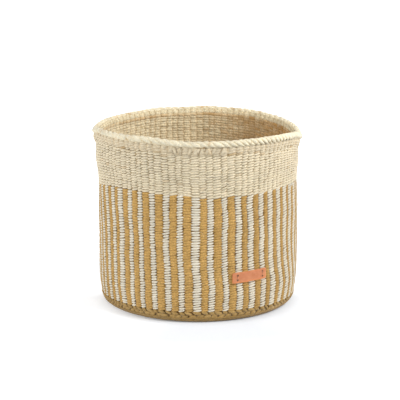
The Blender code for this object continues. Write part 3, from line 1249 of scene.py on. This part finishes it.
@dataclass
class Hem:
    """The hem: uneven weft rows over the warps' bent ends, with short wraps in places."""

    rows: tuple[tuple[float, float, float], ...] = (
        (0.0013, 0.0030, 0.0005), (0.0043, 0.0034, 0.0015), (0.0076, 0.0034, 0.0023), (0.0104, 0.0032, 0.0026),
    )
    strand: Float = Float(
        length=0.0092, height=0.0038, thickness=0.0024, dive=0.0010, slant=math.radians(13.0), sides=6,
        end_height=0.55,
    )
    wraps: int = 2 * RIBS
    width: float = 0.0037
    thickness: float = 0.0015
    route: tuple[tuple[float, float], ...] = (
        (-0.0082, 0.0006), (-0.0070, -0.0008), (-0.0048, -0.0016), (-0.0024, -0.0022), (-0.0004, -0.0018),
        (0.0006, 0.0006),
    )

    def build(self) -> None:
        """Weave the rows, lay the wraps over them and bring both together."""
        start = SHAPE.distance_at(HEM_BOTTOM)
        rows = [Row(start + middle, height, proud) for middle, height, proud in self.rows]
        cloth = Cloth("hem_rows", self.strand, rows, seed=52, unevenness=1.2, tone_and_painted_shade=(0.1, 0.1, 0.0), dyed=self.spots)
        item = join_as("hem_weave", (cloth.weave(), self.lay_wraps()))
        dress(item, Palette.cream, "cream_sisal", "hem_band")

    @staticmethod
    def spots(rows: Array, ribs: Array, luck: Luck) -> Array:
        """Give the hem's floats small brown spots, and many more along its lower seam, where they also stand for
        painted shade.

        Args:
            rows: The row number of each float.
            ribs: The rib number of each float.
            luck: The source of chance.

        Returns:
            The share of dye in each float.
        """
        chance = np.where(rows == 0, 0.18, 0.04)
        picked = luck.random(rows.shape) < chance
        return np.where(picked, luck.uniform(0.35, 0.9, rows.shape), 0.12)

    def lay_wraps(self) -> Item:
        """Model one wrap, copy it round the rim and keep the copies that lie in clusters.

        Returns:
            The wraps as one mesh.
        """
        item = self.model_wrap()
        pattern = points_of(item)
        strand = np.stack((pattern[:, 2] * 1000, pattern[:, 0] / self.width * 2, np.zeros(len(pattern))), axis=-1)
        # Painted shade at each wrap's lower end and along its flanks.
        seam = clamp((-0.0062 - pattern[:, 2]) / 0.0016)
        flank = 0.35 * (np.abs(pattern[:, 0]) / (self.width / 2)) ** 3
        keep(item, strand=strand, tuck=clamp(0.7 * seam + flank))
        luck = np.random.default_rng(51)
        slots = RIBS / self.wraps * np.arange(self.wraps)
        turn = slots * RIB_TURN
        cluster = 0.3 * np.sin(7.0 * turn + 0.6) + 0.3 * np.sin(17.0 * turn + 2.0) + 1.7 * near(turn, -0.04, 0.3)
        kept = cluster + luck.normal(0.0, 0.3, self.wraps) > 0.72
        kept &= np.roll(kept, 1) | np.roll(kept, -1)
        ribs = slots[kept][:, None]
        count, corners = len(ribs), len(pattern)
        copy_along(item, count, (RIB_PITCH, 0.0, 0.0))
        ribs = ribs + luck.normal(0.0, 0.09, (count, 1))
        slant = luck.normal(0.15, 0.22, (count, 1))
        longer = 1.0 + luck.normal(-0.04, 0.12, (count, 1))
        wider = 1.0 + luck.normal(0.0, 0.15, (count, 1))
        proud = luck.normal(0.0, 0.0003, (count, 1))
        top = SHAPE.distance_at(HEM_TOP) - self.thickness / 2
        x = ribs + (pattern[None, :, 0] * wider + slant * (pattern[None, :, 2] + 0.004)) / RIB_PITCH
        distance = top + pattern[None, :, 2] * longer
        set_points(item, SHAPE.roll(x, distance, proud - pattern[None, :, 1]).reshape(-1, 3))
        tone = clamp(luck.normal(0.2, 0.22, count))
        spots = 0.12 + (luck.random(count) < 0.1) * luck.uniform(0.1, 0.3, count)
        keep(item, tone=np.repeat(tone, corners), dye=np.repeat(spots, corners))
        return item

    def model_wrap(self) -> Item:
        """Model one wrap from a disc, extruded up, over and down.

        Returns:
            The closed wrap, with x across it and z from the hem's top downwards.
        """
        deselect_all()
        bpy.ops.mesh.primitive_circle_add(vertices=6, radius=0.5, fill_type="NGON")
        item = named("hem_wraps")
        apply_place(item)
        first, second = self.route[0], self.route[1]
        heading = math.atan2(second[1] - first[1], second[0] - first[0])
        with editing(item):
            bpy.ops.transform.resize(value=(self.width, self.thickness, 1.0))
            turn_about_x(-heading, (0.0, 0.0, 0.0))
            bpy.ops.transform.translate(value=(0.0, first[1], first[0]))
            for number in range(1, len(self.route)):
                before, here = self.route[number - 1], self.route[number]
                after = self.route[min(number + 1, len(self.route) - 1)]
                step = (0.0, here[1] - before[1], here[0] - before[0])
                bpy.ops.mesh.extrude_region_move(TRANSFORM_OT_translate={"value": step})
                aim = math.atan2(after[1] - before[1], after[0] - before[0])
                turn_about_x(-(aim - heading), (0.0, here[1], here[0]))
                heading = aim
        close_ends(item)
        face_outwards(item)
        return item


def turn_about_x(angle: float, centre: tuple[float, float, float]) -> None:
    """Turn what is selected in edit mode about an axis along x.

    Args:
        angle: The turn from y towards z, in radians.
        centre: The point that stays.
    """
    bpy.ops.transform.rotate(value=-angle, orient_axis="X", center_override=centre)


@dataclass
class Rope:
    """The rim rope: three strands laid together, tighter on the right than on the left."""

    strands: int = 3
    lays: int = 29
    points: int = 900
    strand_radius: float = 0.0019
    core_radius: float = 0.0020
    rise: float = 0.0016
    crest: float = 0.16

    def build(self) -> None:
        """Lay the strands and bring them together as one piece."""
        parts = [self.lay_strand(number) for number in range(self.strands)]
        dress(join_as("rope_strands", parts), Palette.rim, "cream_sisal", "rim_rope")

    def phase(self, turn: Array) -> Array:
        """Return how far the lay has turned, at angles round the rim."""
        return self.lays * turn + 6.0 * np.sin(turn - 1.05) + 1.5 * np.sin(2.0 * turn - 1.75)

    @staticmethod
    def near(turn: Array, place: float, width: float) -> Array:
        """Return how near angles are to a place, which is given with its width in degrees."""
        return near(turn, math.radians(place), math.radians(width))

    def lay_strand(self, number: int) -> Item:
        """Lay one strand as a closed cord round the rim.

        Args:
            number: The strand's number.

        Returns:
            The strand as a mesh.
        """
        luck = np.random.default_rng(61 + number)
        turn = np.arange(self.points) / self.points * math.tau
        lay = self.phase(turn) + math.tau * number / self.strands
        fuller = 1.0 + 0.3 * self.near(turn, -26.0, 14.0)
        knotted = self.near(turn, 45.0, 36.0)
        closer = 1.0 - 0.85 * knotted
        away = self.core_radius * (1.0 - 0.25 * closer) * (
            1.0 + 0.07 * np.sin(9.0 * turn + number) + 0.12 * np.sin(31.0 * turn + 2.0 * number)
        )
        rise = self.rise * (1.0 - 0.15 * closer + 0.75 * knotted) * fuller
        distance = SHAPE.distance_at(ROPE_HEIGHT) + rise * np.sin(-lay) - 0.0005 * knotted
        proud = ROPE_OUT + away * np.cos(-lay)
        route = SHAPE.roll(turn / RIB_TURN, distance, proud)
        girth = 1.0 + 0.07 * np.sin(13.0 * turn + 2.0 * number) + 0.07 * np.sin(41.0 * turn + 3.0 * number)
        girth = (girth + luck.normal(0.0, 0.012, self.points)) * (0.85 + 0.15 * fuller)
        crest = self.crest + 0.22 * knotted
        girth = girth * (1.0 + 0.16 * closer - 0.14 * knotted) * (1.0 + crest * np.sin(-lay + 0.5))
        cords = Cords(f"rope_strand_{number}", self.strand_radius, 3)
        cords.lay(route, girth, closed=True)
        item = cords.mesh()
        self.mark(item, number)
        return item

    def mark(self, item: Item, number: int) -> None:
        """Keep the place along and round the strand, its tone with painted light, its flecks and its painted shade, for
        its finish.

        Args:
            item: The strand.
            number: The strand's number.
        """
        luck = np.random.default_rng(71 + number)
        corners = len(item.data.vertices)
        sides = corners // self.points
        ring, side = np.divmod(np.arange(corners), sides)
        along = ring * (math.tau * ROPE_RADIUS / self.points) * 1000
        around = 2.0 * np.abs(side / sides - 0.5)
        strand = np.stack((along, 2.0 * around + along * 0.12, np.full(corners, 1.0 + number)), axis=-1)
        tone_and_painted_light = 0.5 + 0.22 * np.sin(ring * 0.061 + 2.1 * number) + 0.12 * np.sin(ring * 0.23 + number)
        turn = ring / self.points * math.tau
        # Painted light: lighter at the right and the back right, darker in front, where light falls on the rope
        # differently.
        tone_and_painted_light = tone_and_painted_light + 0.4 * self.near(turn, 62.0, 40.0) - 0.35 * self.near(turn, -15.0, 45.0)
        tone_and_painted_light = tone_and_painted_light + 0.45 * self.near(turn, 115.0, 32.0)
        tone = clamp(tone_and_painted_light + luck.normal(0.0, 0.04, corners))
        flecks = np.convolve(luck.normal(0.0, 1.0, self.points), np.ones(4) / 2.0, "same")
        rarer = 1.1 - 0.6 * self.near(turn, -145.0, 50.0) - 0.3 * self.near(turn, 150.0, 40.0)
        points = points_of(item)
        middle = points.reshape(-1, sides, 3).mean(axis=1)
        core = self.core_line()
        outward = (middle - core)[ring]
        here = points - middle[ring]
        depth = np.einsum("ij,ij->i", here, outward) / (self.strand_radius * self.core_radius)
        # Painted shade on each strand's inner side and its underside, made weaker at the back right, where light falls
        # on the rope.
        under = (core[ring, 2] - points[:, 2]) / (2.0 * self.strand_radius) - 0.2
        lit = 1.0 - 0.5 * self.near(turn, 100.0, 40.0)
        tuck = clamp(np.maximum(0.6 - depth, under) * lit)
        keep(item, strand=strand, tone=tone, dye=np.clip(0.5 * (flecks[ring] - rarer), 0.0, 0.6), tuck=tuck)

    def core_line(self) -> Array:
        """Trace the rope's middle line.

        Returns:
            Its points in the basket's frame.
        """
        turn = np.arange(self.points) / self.points * math.tau
        distance = np.full(self.points, SHAPE.distance_at(ROPE_HEIGHT))
        return SHAPE.roll(turn / RIB_TURN, distance, np.full(self.points, ROPE_OUT))


@dataclass
class Warps:
    """The upright cords, each folded at its inner end to give two neighbouring ribs."""

    pairs: int = RIBS // 2
    cord_radius: float = 0.0011
    depth: float = 0.003
    starts: tuple[float, float, float] = (0.0108, 0.0217, 0.0435)

    def build(self) -> None:
        """Bend every warp along the base and up the wall, as one piece."""
        cords = Cords("warp_cords", self.cord_radius, 1, capped=True)
        for number in range(self.pairs):
            cords.lay(self.route(number))
        item = cords.mesh()
        plain_marks(item)
        nodes = [f"warp_cord_{number + 1:02d}" for number in range(self.pairs)]
        dress(item, Palette.hidden, "natural_cord", *nodes)

    def route(self, number: int) -> Array:
        """Return one warp's points, down one rib, round the fold and up the next.

        Args:
            number: The warp's number.

        Returns:
            The points in the basket's frame.
        """
        start = self.starts[0 if number % 4 == 0 else 1 if number % 2 == 0 else 2]
        low = np.linspace(start + 0.002, UNDERSIDE_RADIUS, 6)
        corner = UNDERSIDE_RADIUS + np.array([0.003, 0.006, 0.009, 0.012, 0.016])
        wall = np.linspace(corner[-1] + 0.008, SHAPE.distance_at(HEM_TOP - 0.0032), 12)
        leg = np.concatenate((low, corner, wall))
        away = np.maximum(0.5, 0.0016 / (np.minimum(leg, UNDERSIDE_RADIUS) * RIB_TURN))
        distance = np.concatenate((leg[::-1], [start], leg))
        middle = 2.0 * number + 0.5
        ribs = np.concatenate((middle - away[::-1], [middle], middle + away))
        return SHAPE.roll(ribs, distance, np.full(len(distance), -self.depth))


@dataclass
class Crossings:
    """The weft where it crosses between the warps: two thin sheets from the knot into the rope."""

    depths: tuple[float, float] = (0.0025, 0.0037)
    start: float = 0.0045
    thickness: float = 0.0003

    def build(self) -> None:
        """Model each sheet, roll it and mark its colours."""
        item = join_as("weft_crossings", [self.sheet(depth) for depth in self.depths])
        dress(item, Palette.hidden, "natural_cord")

    def sheet(self, depth: float) -> Item:
        """Model one sheet as a thin closed skin.

        Args:
            depth: How deep it lies under the outer face.

        Returns:
            The sheet.
        """
        deselect_all()
        bpy.ops.mesh.primitive_grid_add(x_subdivisions=RIBS * 2, y_subdivisions=70, size=1.0)
        item = named("crossing_sheet")
        points = points_of(item)
        end = SHAPE.distance_at(ROPE_HEIGHT - 0.0005)
        ribs = (points[:, 0] + 0.5) * RIBS
        distance = self.start + (points[:, 1] + 0.5) * (end - self.start)
        outwards = smooth_step(end - 0.0150, end - 0.0115, distance)
        high = np.interp(distance - end, (-0.0125, -0.0095, -0.0062, -0.0034), (-0.0006, 0.0004, 0.0012, 0.0015))
        set_points(item, SHAPE.roll(ribs, distance, -depth * (1.0 - outwards) + high * outwards))
        face_outwards(item)
        apply_modifier(item, "SOLIDIFY", thickness=self.thickness, offset=0.0)
        plain_marks(item)
        points = points_of(item)
        basis = np.arctan2(points[:, 1], points[:, 0])
        line = COLOUR_CHANGE + SHAPE.change_wave.at(basis)
        pale = smooth_step(-0.002, 0.002, points[:, 2] - line)
        if depth > WALL_THICKNESS / 2:
            pale = 0.35 + 0.65 * pale
        keep(item, dye=pale)
        return item


@dataclass
class StartKnot:
    """The tied middle of the base: short ends gathered like a pinwheel on both sides."""

    core_radius: float = 0.0052
    arms: int = 8
    strand: Float = Float(length=0.0092, height=0.0036, thickness=0.0026, dive=0.0008)
    arm_share: float = 0.8
    arm_place: tuple[float, float] = (0.0037, 0.0009)

    def build(self) -> None:
        """Model one arm, copy it round the middle on both sides and add the core."""
        parts = []
        for side in (1.0, -1.0):
            for number in range(self.arms):
                arm = self.strand.model()
                turn = math.tau * number / self.arms
                points = points_of(arm)
                x, y = points[:, 0] * self.arm_share + self.arm_place[0], points[:, 2] + self.arm_place[1]
                around = np.stack((x * math.cos(turn) - y * math.sin(turn), x * math.sin(turn) + y * math.cos(turn)))
                height = WALL_THICKNESS / 2 + side * (WALL_THICKNESS / 2 + 0.0001 - points[:, 1])
                set_points(arm, np.stack((around[0], around[1], height), axis=-1))
                face_outwards(arm)
                keep(arm, tone=0.35 + 0.3 * (number % 2), dye=0.25 if side > 0 else 0.0)
                parts.append(arm)
        item = join_as("knot_arms", (*parts, self.model_core()))
        dress(item, Palette.brown, "brown_sisal", "start_knot")

    def model_core(self) -> Item:
        """Model the knot's core from a ball pressed flat and twisted.

        Returns:
            The core.
        """
        deselect_all()
        bpy.ops.mesh.primitive_uv_sphere_add(segments=20, ring_count=12, radius=self.core_radius)
        item = named("knot_core")
        points = points_of(item)
        around = np.arctan2(points[:, 1], points[:, 0])
        away = np.hypot(points[:, 0], points[:, 1]) * (1.0 + 0.12 * np.cos(4.0 * around))
        turn = around + 90.0 * away
        high = WALL_THICKNESS / 2 + points[:, 2] / self.core_radius * (WALL_THICKNESS / 2 - 0.0004)
        set_points(item, np.stack((away * np.cos(turn), away * np.sin(turn), high), axis=-1))
        plain_marks(item)
        return item


@dataclass
class Label:
    """The bare leather label, bent to the wall and held by a loop of thread at each end."""

    centre: float = math.radians(29.8)
    height: float = 0.0558
    length: float = 0.0468
    width: float = 0.013
    thickness: float = 0.0014
    gap: float = 0.0003
    tilt: float = math.radians(2.0)
    hole_arcs: tuple[float, float] = (-0.0168, 0.0176)
    hole_rise: float = 0.0054
    hole_radius: float = 0.0013
    corner: float = 0.0008
    thread_radius: float = 0.00032
    thread_depth: float = 0.0019
    bevel: float = 0.00028
    punch_depth: float = 0.006
    stitch_points: int = 40

    def build(self) -> None:
        """Make the leather strip and its two stitches."""
        self.build_leather()
        for side, arc in zip(("left", "right"), self.hole_arcs):
            self.build_stitch(side, arc)

    def bend(self, arc: Array, rise: Array, proud: Array) -> Array:
        """Bend flat label points onto the wall.

        Args:
            arc: The distance to the right of the label's middle.
            rise: The distance above its middle line.
            proud: How far out of the wall's face.

        Returns:
            The points in the basket's frame.
        """
        angle = self.centre + arc / (WALL_RADIUS + self.gap)
        radius = WALL_RADIUS + SHAPE.low_swell + proud
        height = self.height + rise + arc * math.tan(self.tilt)
        return np.stack((radius * np.sin(angle) + SHAPE.low_lean, -radius * np.cos(angle), height), axis=-1)

    def holes(self) -> list[tuple[float, float]]:
        """Return the (arc, rise) of each hole."""
        return [(arc, rise) for arc in self.hole_arcs for rise in (-self.hole_rise / 2, self.hole_rise / 2)]

    def build_leather(self) -> None:
        """Cut the strip from a sheet, punch its holes, round its edges and bend it."""
        deselect_all()
        bpy.ops.mesh.primitive_grid_add(x_subdivisions=28, y_subdivisions=8, size=1.0, rotation=(math.pi / 2, 0.0, 0.0))
        item = named("label_leather")
        item.scale = (self.length, self.width, 1.0)
        apply_place(item)
        points = points_of(item)
        points[:, 2] = self.rounded(points[:, 0], points[:, 2])
        set_points(item, points)
        apply_modifier(item, "SOLIDIFY", thickness=self.thickness, offset=0.0)
        face_outwards(item)
        apply_modifier(
            item, "BEVEL", width=self.bevel, segments=2, limit_method="ANGLE", angle_limit=math.radians(50.0)
        )
        cutter = self.model_punch()
        apply_modifier(item, "BOOLEAN", operation="DIFFERENCE", solver="EXACT", object=cutter)
        bpy.data.objects.remove(cutter, do_unlink=True)
        face_outwards(item)
        self.finish_leather(item)

    def rounded(self, x: Array, z: Array) -> Array:
        """Round the corners of the flat strip and let its long edges wander a little.

        Args:
            x: The corners' places along the strip.
            z: Their places across it.

        Returns:
            Their new places across it.
        """
        past = clamp((np.abs(x) - (self.length / 2 - self.corner)) / self.corner)
        inset = self.corner * (1.0 - np.sqrt(clamp(1.0 - past * past)))
        share = np.abs(z) / (self.width / 2)
        moved = np.sign(z) * (np.abs(z) - inset * share**2)
        return moved + 0.00012 * np.sin(x * 310.0) * share + 0.00008 * np.sin(x * 730.0 + 1.0) * share

    def model_punch(self) -> Item:
        """Model the four-pin punch for the holes.

        Returns:
            The punch.
        """
        pins = []
        for arc, rise in self.holes():
            deselect_all()
            bpy.ops.mesh.primitive_cylinder_add(
                vertices=16, radius=self.hole_radius, depth=self.punch_depth,
                location=(arc, 0.0, rise), rotation=(math.pi / 2, 0.0, 0.0),
            )
            pins.append(named("punch_pin"))
        punch = join_as("punch", pins)
        apply_place(punch)
        return punch

    def finish_leather(self, item: Item) -> None:
        """Mark the worn edges and paint shade into the holes, bend the strip and dress it.

        Args:
            item: The flat strip.
        """
        points = points_of(item)
        x, y, z = points[:, 0], points[:, 1], points[:, 2]
        border = np.minimum(self.length / 2 - np.abs(x), self.width / 2 - np.abs(z))
        low = clamp(0.5 - z / self.width)
        edge = clamp(1.4 - border / 0.0014) * (0.15 + 0.6 * low)
        hole = np.full(len(points), 1.0)
        for arc, rise in self.holes():
            away = np.hypot(x - arc, z - rise)
            hole = np.minimum(hole, clamp((away - self.hole_radius) / 0.0003))
        edge = edge * hole
        # Painted shade in the holes, growing towards the back of the leather.
        punched = clamp((1.0 - hole) * (0.7 + 1.4 * y / self.thickness))
        proud = self.gap + self.thickness / 2 - y
        proud = proud + 0.0002 * (np.abs(z) / (self.width / 2)) ** 3 * (z < 0)
        set_points(item, self.bend(x, z, proud))
        face_outwards(item)
        keep(item, edge=edge, punched=punched)
        dress(item, Palette.leather, "tan_leather", "leather_label")
        take_up(item)
        bpy.ops.object.shade_smooth_by_angle(angle=math.radians(42.0))

    def build_stitch(self, side: str, arc: float) -> None:
        """Make one loop of thread, out by one hole and back by the other.

        Args:
            side: Which end of the label it holds.
            arc: The place of its holes along the label.
        """
        turn = np.arange(self.stitch_points) / self.stitch_points * math.tau
        front = self.gap + self.thickness + 0.0001 + self.thread_radius
        back = -self.thread_depth - self.thread_radius
        squared = 0.42
        rise = self.hole_rise / 2 * np.sign(np.cos(turn)) * np.abs(np.cos(turn)) ** squared
        across = np.sign(np.sin(turn)) * np.abs(np.sin(turn)) ** squared
        proud = (front + back) / 2 + (front - back) / 2 * across
        cords = Cords(f"label_thread_{side}", self.thread_radius, 2)
        cords.lay(self.bend(np.full(self.stitch_points, arc), rise, proud), closed=True)
        item = cords.mesh()
        corners = len(item.data.vertices)
        sides = corners // self.stitch_points
        ring, place = np.divmod(np.arange(corners), sides)
        strand = np.stack((ring * 0.4, place / sides * 2 + ring * 0.12, ring * 0.0), axis=-1)
        keep(item, strand=strand, tone=0.5, dye=0.0, tuck=0.1)
        dress(item, Palette.thread, "label_thread", f"label_stitch_{side}")


@dataclass
class LooseFibres:
    """Fine fibre ends that stand off the weave."""

    count: int = 420
    radius: float = 0.00005
    picked: tuple[tuple[float, float], ...] = ((23.0, 0.24), (17.4, 0.182), (17.8, 0.184), (18.1, 0.183))
    picked_size: float = 1.6
    span: tuple[float, float] = (0.128, 0.336)
    stations: int = 6

    def build(self) -> None:
        """Scatter the fibres over the wall, the hem and the rope."""
        luck = np.random.default_rng(81)
        cords = Cords("loose_fibres", self.radius, 0, capped=True)
        for _ in range(self.count):
            self.add_fibre(cords, luck, luck.uniform(0.0, RIBS), luck.uniform(*self.span), 1.0)
        for rib, distance in self.picked:
            self.add_fibre(cords, luck, rib, distance, self.picked_size)
        item = cords.mesh()
        plain_marks(item)
        dress(item, Palette.cream, "cream_sisal")

    def add_fibre(self, cords: Cords, luck: Luck, rib: float, distance: float, size: float) -> None:
        """Add one fibre that leaves the weave and curls back.

        Args:
            cords: The cords that it joins.
            luck: The source of chance.
            rib: Where it leaves, round the basket.
            distance: Where it leaves, along the profile.
            size: How long and far out it goes.
        """
        along = np.linspace(0.0, 1.0, self.stations)
        length = size * luck.uniform(0.003, 0.009)
        heading = luck.uniform(-0.7, 0.7) + (math.pi if luck.random() < 0.5 else 0.0)
        curl = luck.uniform(-1.5, 1.5)
        bearing = heading + curl * along
        step = length / (self.stations - 1)
        x = rib + np.cumsum(np.cos(bearing)) * step / RIB_PITCH
        z = distance + np.cumsum(np.sin(bearing)) * step
        proud = -0.0006 + size * luck.uniform(0.0008, 0.0019) * np.sin(along * luck.uniform(1.6, 3.0))
        top = SHAPE.distance_at(HEM_TOP)
        proud = proud + np.where(z > top - 0.012, 0.0016, 0.0) + np.where(z > top, 0.0016, 0.0)
        cords.lay(SHAPE.roll(x, z, proud), 1.0 - 0.6 * along)


@dataclass
class Studio:
    """The white room: a floor that keeps the basket's shadow under a painted glow, with a painted contact shadow at the
    foot, soft light and the camera.

    A lamp is (name, place, power in watts, width in metres). A stop of the floor's glow is (share of the
    way from left to right, strength), and its other parts map a (low, high) of places onto a (low, high).
    """

    camera_place: tuple[float, float, float] = (0.0029, -1.9818, 0.5438)
    camera_pitch: float = 0.2077
    lens: float = 144.2
    sensor: float = 36.0
    ambient: float = 0.4
    aim_height: float = 0.11
    lamps: tuple[tuple[str, tuple[float, float, float], float, float], ...] = (
        ("key", (1.9, -1.0, 1.8), 60.0, 1.3), ("fill", (-1.95, -0.75, 0.5), 25.0, 1.2),
    )
    floor_size: float = 12.0
    floor_height: float = -0.0001
    floor_colour: Colour = (0.76, 0.80, 0.86)
    # Painted light on the floor: most glow on the left, over the key lamp's shadow, and least in front.
    glow_stops: tuple[tuple[float, float], ...] = (
        (0.0, 0.58), (0.075, 0.57), (0.175, 0.43), (0.275, 0.29), (0.4, 0.19), (0.72, 0.17), (0.875, 0.25),
        (1.0, 0.33),
    )
    back_glow: tuple[float, float, float, float] = (0.0, 0.35, 0.0, 0.3)
    far_glow: tuple[float, float, float, float] = (0.19, 0.4, 0.0, 0.55)
    # A ring of less glow round the foot: a painted contact shadow.
    painted_contact_shadow: tuple[float, float, float, float] = (0.116, 0.134, -0.13, 0.0)

    def build(self) -> None:
        """Set up the floor, the light and the camera."""
        self.build_floor()
        self.build_world()
        for lamp in self.lamps:
            self.add_lamp(*lamp)
        sight = bpy.data.cameras.new("camera")
        sight.lens = self.lens
        sight.sensor_width = self.sensor
        camera = bpy.data.objects.new("camera", sight)
        camera.location = self.camera_place
        camera.rotation_euler = (math.pi / 2 - self.camera_pitch, 0.0, 0.0)
        bpy.context.scene.collection.objects.link(camera)
        bpy.context.scene.camera = camera
        bpy.context.scene.view_settings.view_transform = "Standard"

    def build_floor(self) -> None:
        """Lay a wide pale floor just under the basket."""
        deselect_all()
        bpy.ops.mesh.primitive_plane_add(size=self.floor_size, location=(0.0, 0.0, self.floor_height))
        floor = named("floor")
        apply_place(floor)
        work = Nodes(bpy.data.materials.new("white_floor"))
        work.fill(work.shader, Roughness=0.9, Specular_IOR_Level=0.1, Base_Color=(*self.floor_colour, 1.0))
        glow, none = work.add("ShaderNodeEmission"), work.add("ShaderNodeEmission")
        work.join(self.floor_glow(work), glow.inputs["Strength"])
        work.fill(none, Strength=0.0)
        ray = work.add("ShaderNodeLightPath").outputs["Is Camera Ray"]
        seen = work.add("ShaderNodeMixShader", ray, none.outputs[0], glow.outputs[0])
        both = work.add("ShaderNodeAddShader", work.shader.outputs[0], seen.outputs[0])
        work.join(both.outputs[0], work.tree.nodes["Material Output"].inputs["Surface"])
        floor.data.materials.append(work.owner)

    def floor_glow(self, work: Nodes) -> Socket:
        """Let the floor glow for the camera, more towards its edges and on the left, where the glow paints over the key
        lamp's shadow, and less in a ring round the foot, which paints a contact shadow.

        Args:
            work: The floor's material.

        Returns:
            The strength of the glow.
        """
        place = work.place()
        away = work.add("ShaderNodeVectorMath", place, operation="LENGTH").outputs["Value"]
        apart = work.add("ShaderNodeSeparateXYZ", place)
        right, back = (work.reckon("DIVIDE", apart.outputs[axis], away) for axis in ("X", "Y"))
        around = work.add("ShaderNodeValToRGB", work.spread(right, -1.0, 1.0))
        ramp = around.color_ramp
        for number, (position, value) in enumerate(self.glow_stops):
            stop = ramp.elements[number] if number < 2 else ramp.elements.new(position)
            stop.position = position
            stop.color = (value, value, value, 1.0)
        total = work.reckon("ADD", around.outputs[0], work.spread(back, *self.back_glow))
        total = work.reckon("ADD", total, work.spread(away, *self.far_glow))
        return work.reckon("ADD", total, work.spread(away, *self.painted_contact_shadow))

    def build_world(self) -> None:
        """Light the room evenly, and show it white to the camera and in reflections."""
        world = bpy.data.worlds.new("white_room")
        bpy.context.scene.world = world
        work = Nodes(world)
        white = work.add("ShaderNodeBackground")
        for light, strength in ((work.shader, self.ambient), (white, 1.0)):
            work.fill(light, Color=WHITE, Strength=strength)
        rays = work.add("ShaderNodeLightPath").outputs
        seen = work.reckon("MAXIMUM", rays["Is Glossy Ray"], rays["Is Transmission Ray"])
        seen = work.reckon("MAXIMUM", rays["Is Camera Ray"], seen)
        mix = work.add("ShaderNodeMixShader", seen, work.shader.outputs[0], white.outputs[0])
        work.join(mix.outputs[0], work.tree.nodes["World Output"].inputs["Surface"])

    def add_lamp(self, name: str, place: tuple[float, float, float], power: float, size: float) -> None:
        """Hang a soft lamp that looks at the basket.

        Args:
            name: The lamp's name.
            place: Where it hangs.
            power: Its power in watts.
            size: Its width in metres.
        """
        light = bpy.data.lights.new(name, "AREA")
        light.energy = power
        light.size = size
        lamp = bpy.data.objects.new(name, light)
        lamp.location = place
        aim = lamp.location.copy()
        aim.z -= self.aim_height
        lamp.rotation_euler = aim.to_track_quat("Z", "Y").to_euler()
        bpy.context.scene.collection.objects.link(lamp)


def main() -> None:
    """Build the basket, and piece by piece."""
    logging.basicConfig(level=logging.INFO, format="%(message)s")
    for part in (
        Studio(), Wall(), Base(), FootBorder(), Hem(), Rope(), Warps(), Crossings(), StartKnot(), Label(), LooseFibres()
    ):
        LOG.info("building %s", type(part).__name__)
        part.build()
    deselect_all()


if __name__ == "__main__":
    main()
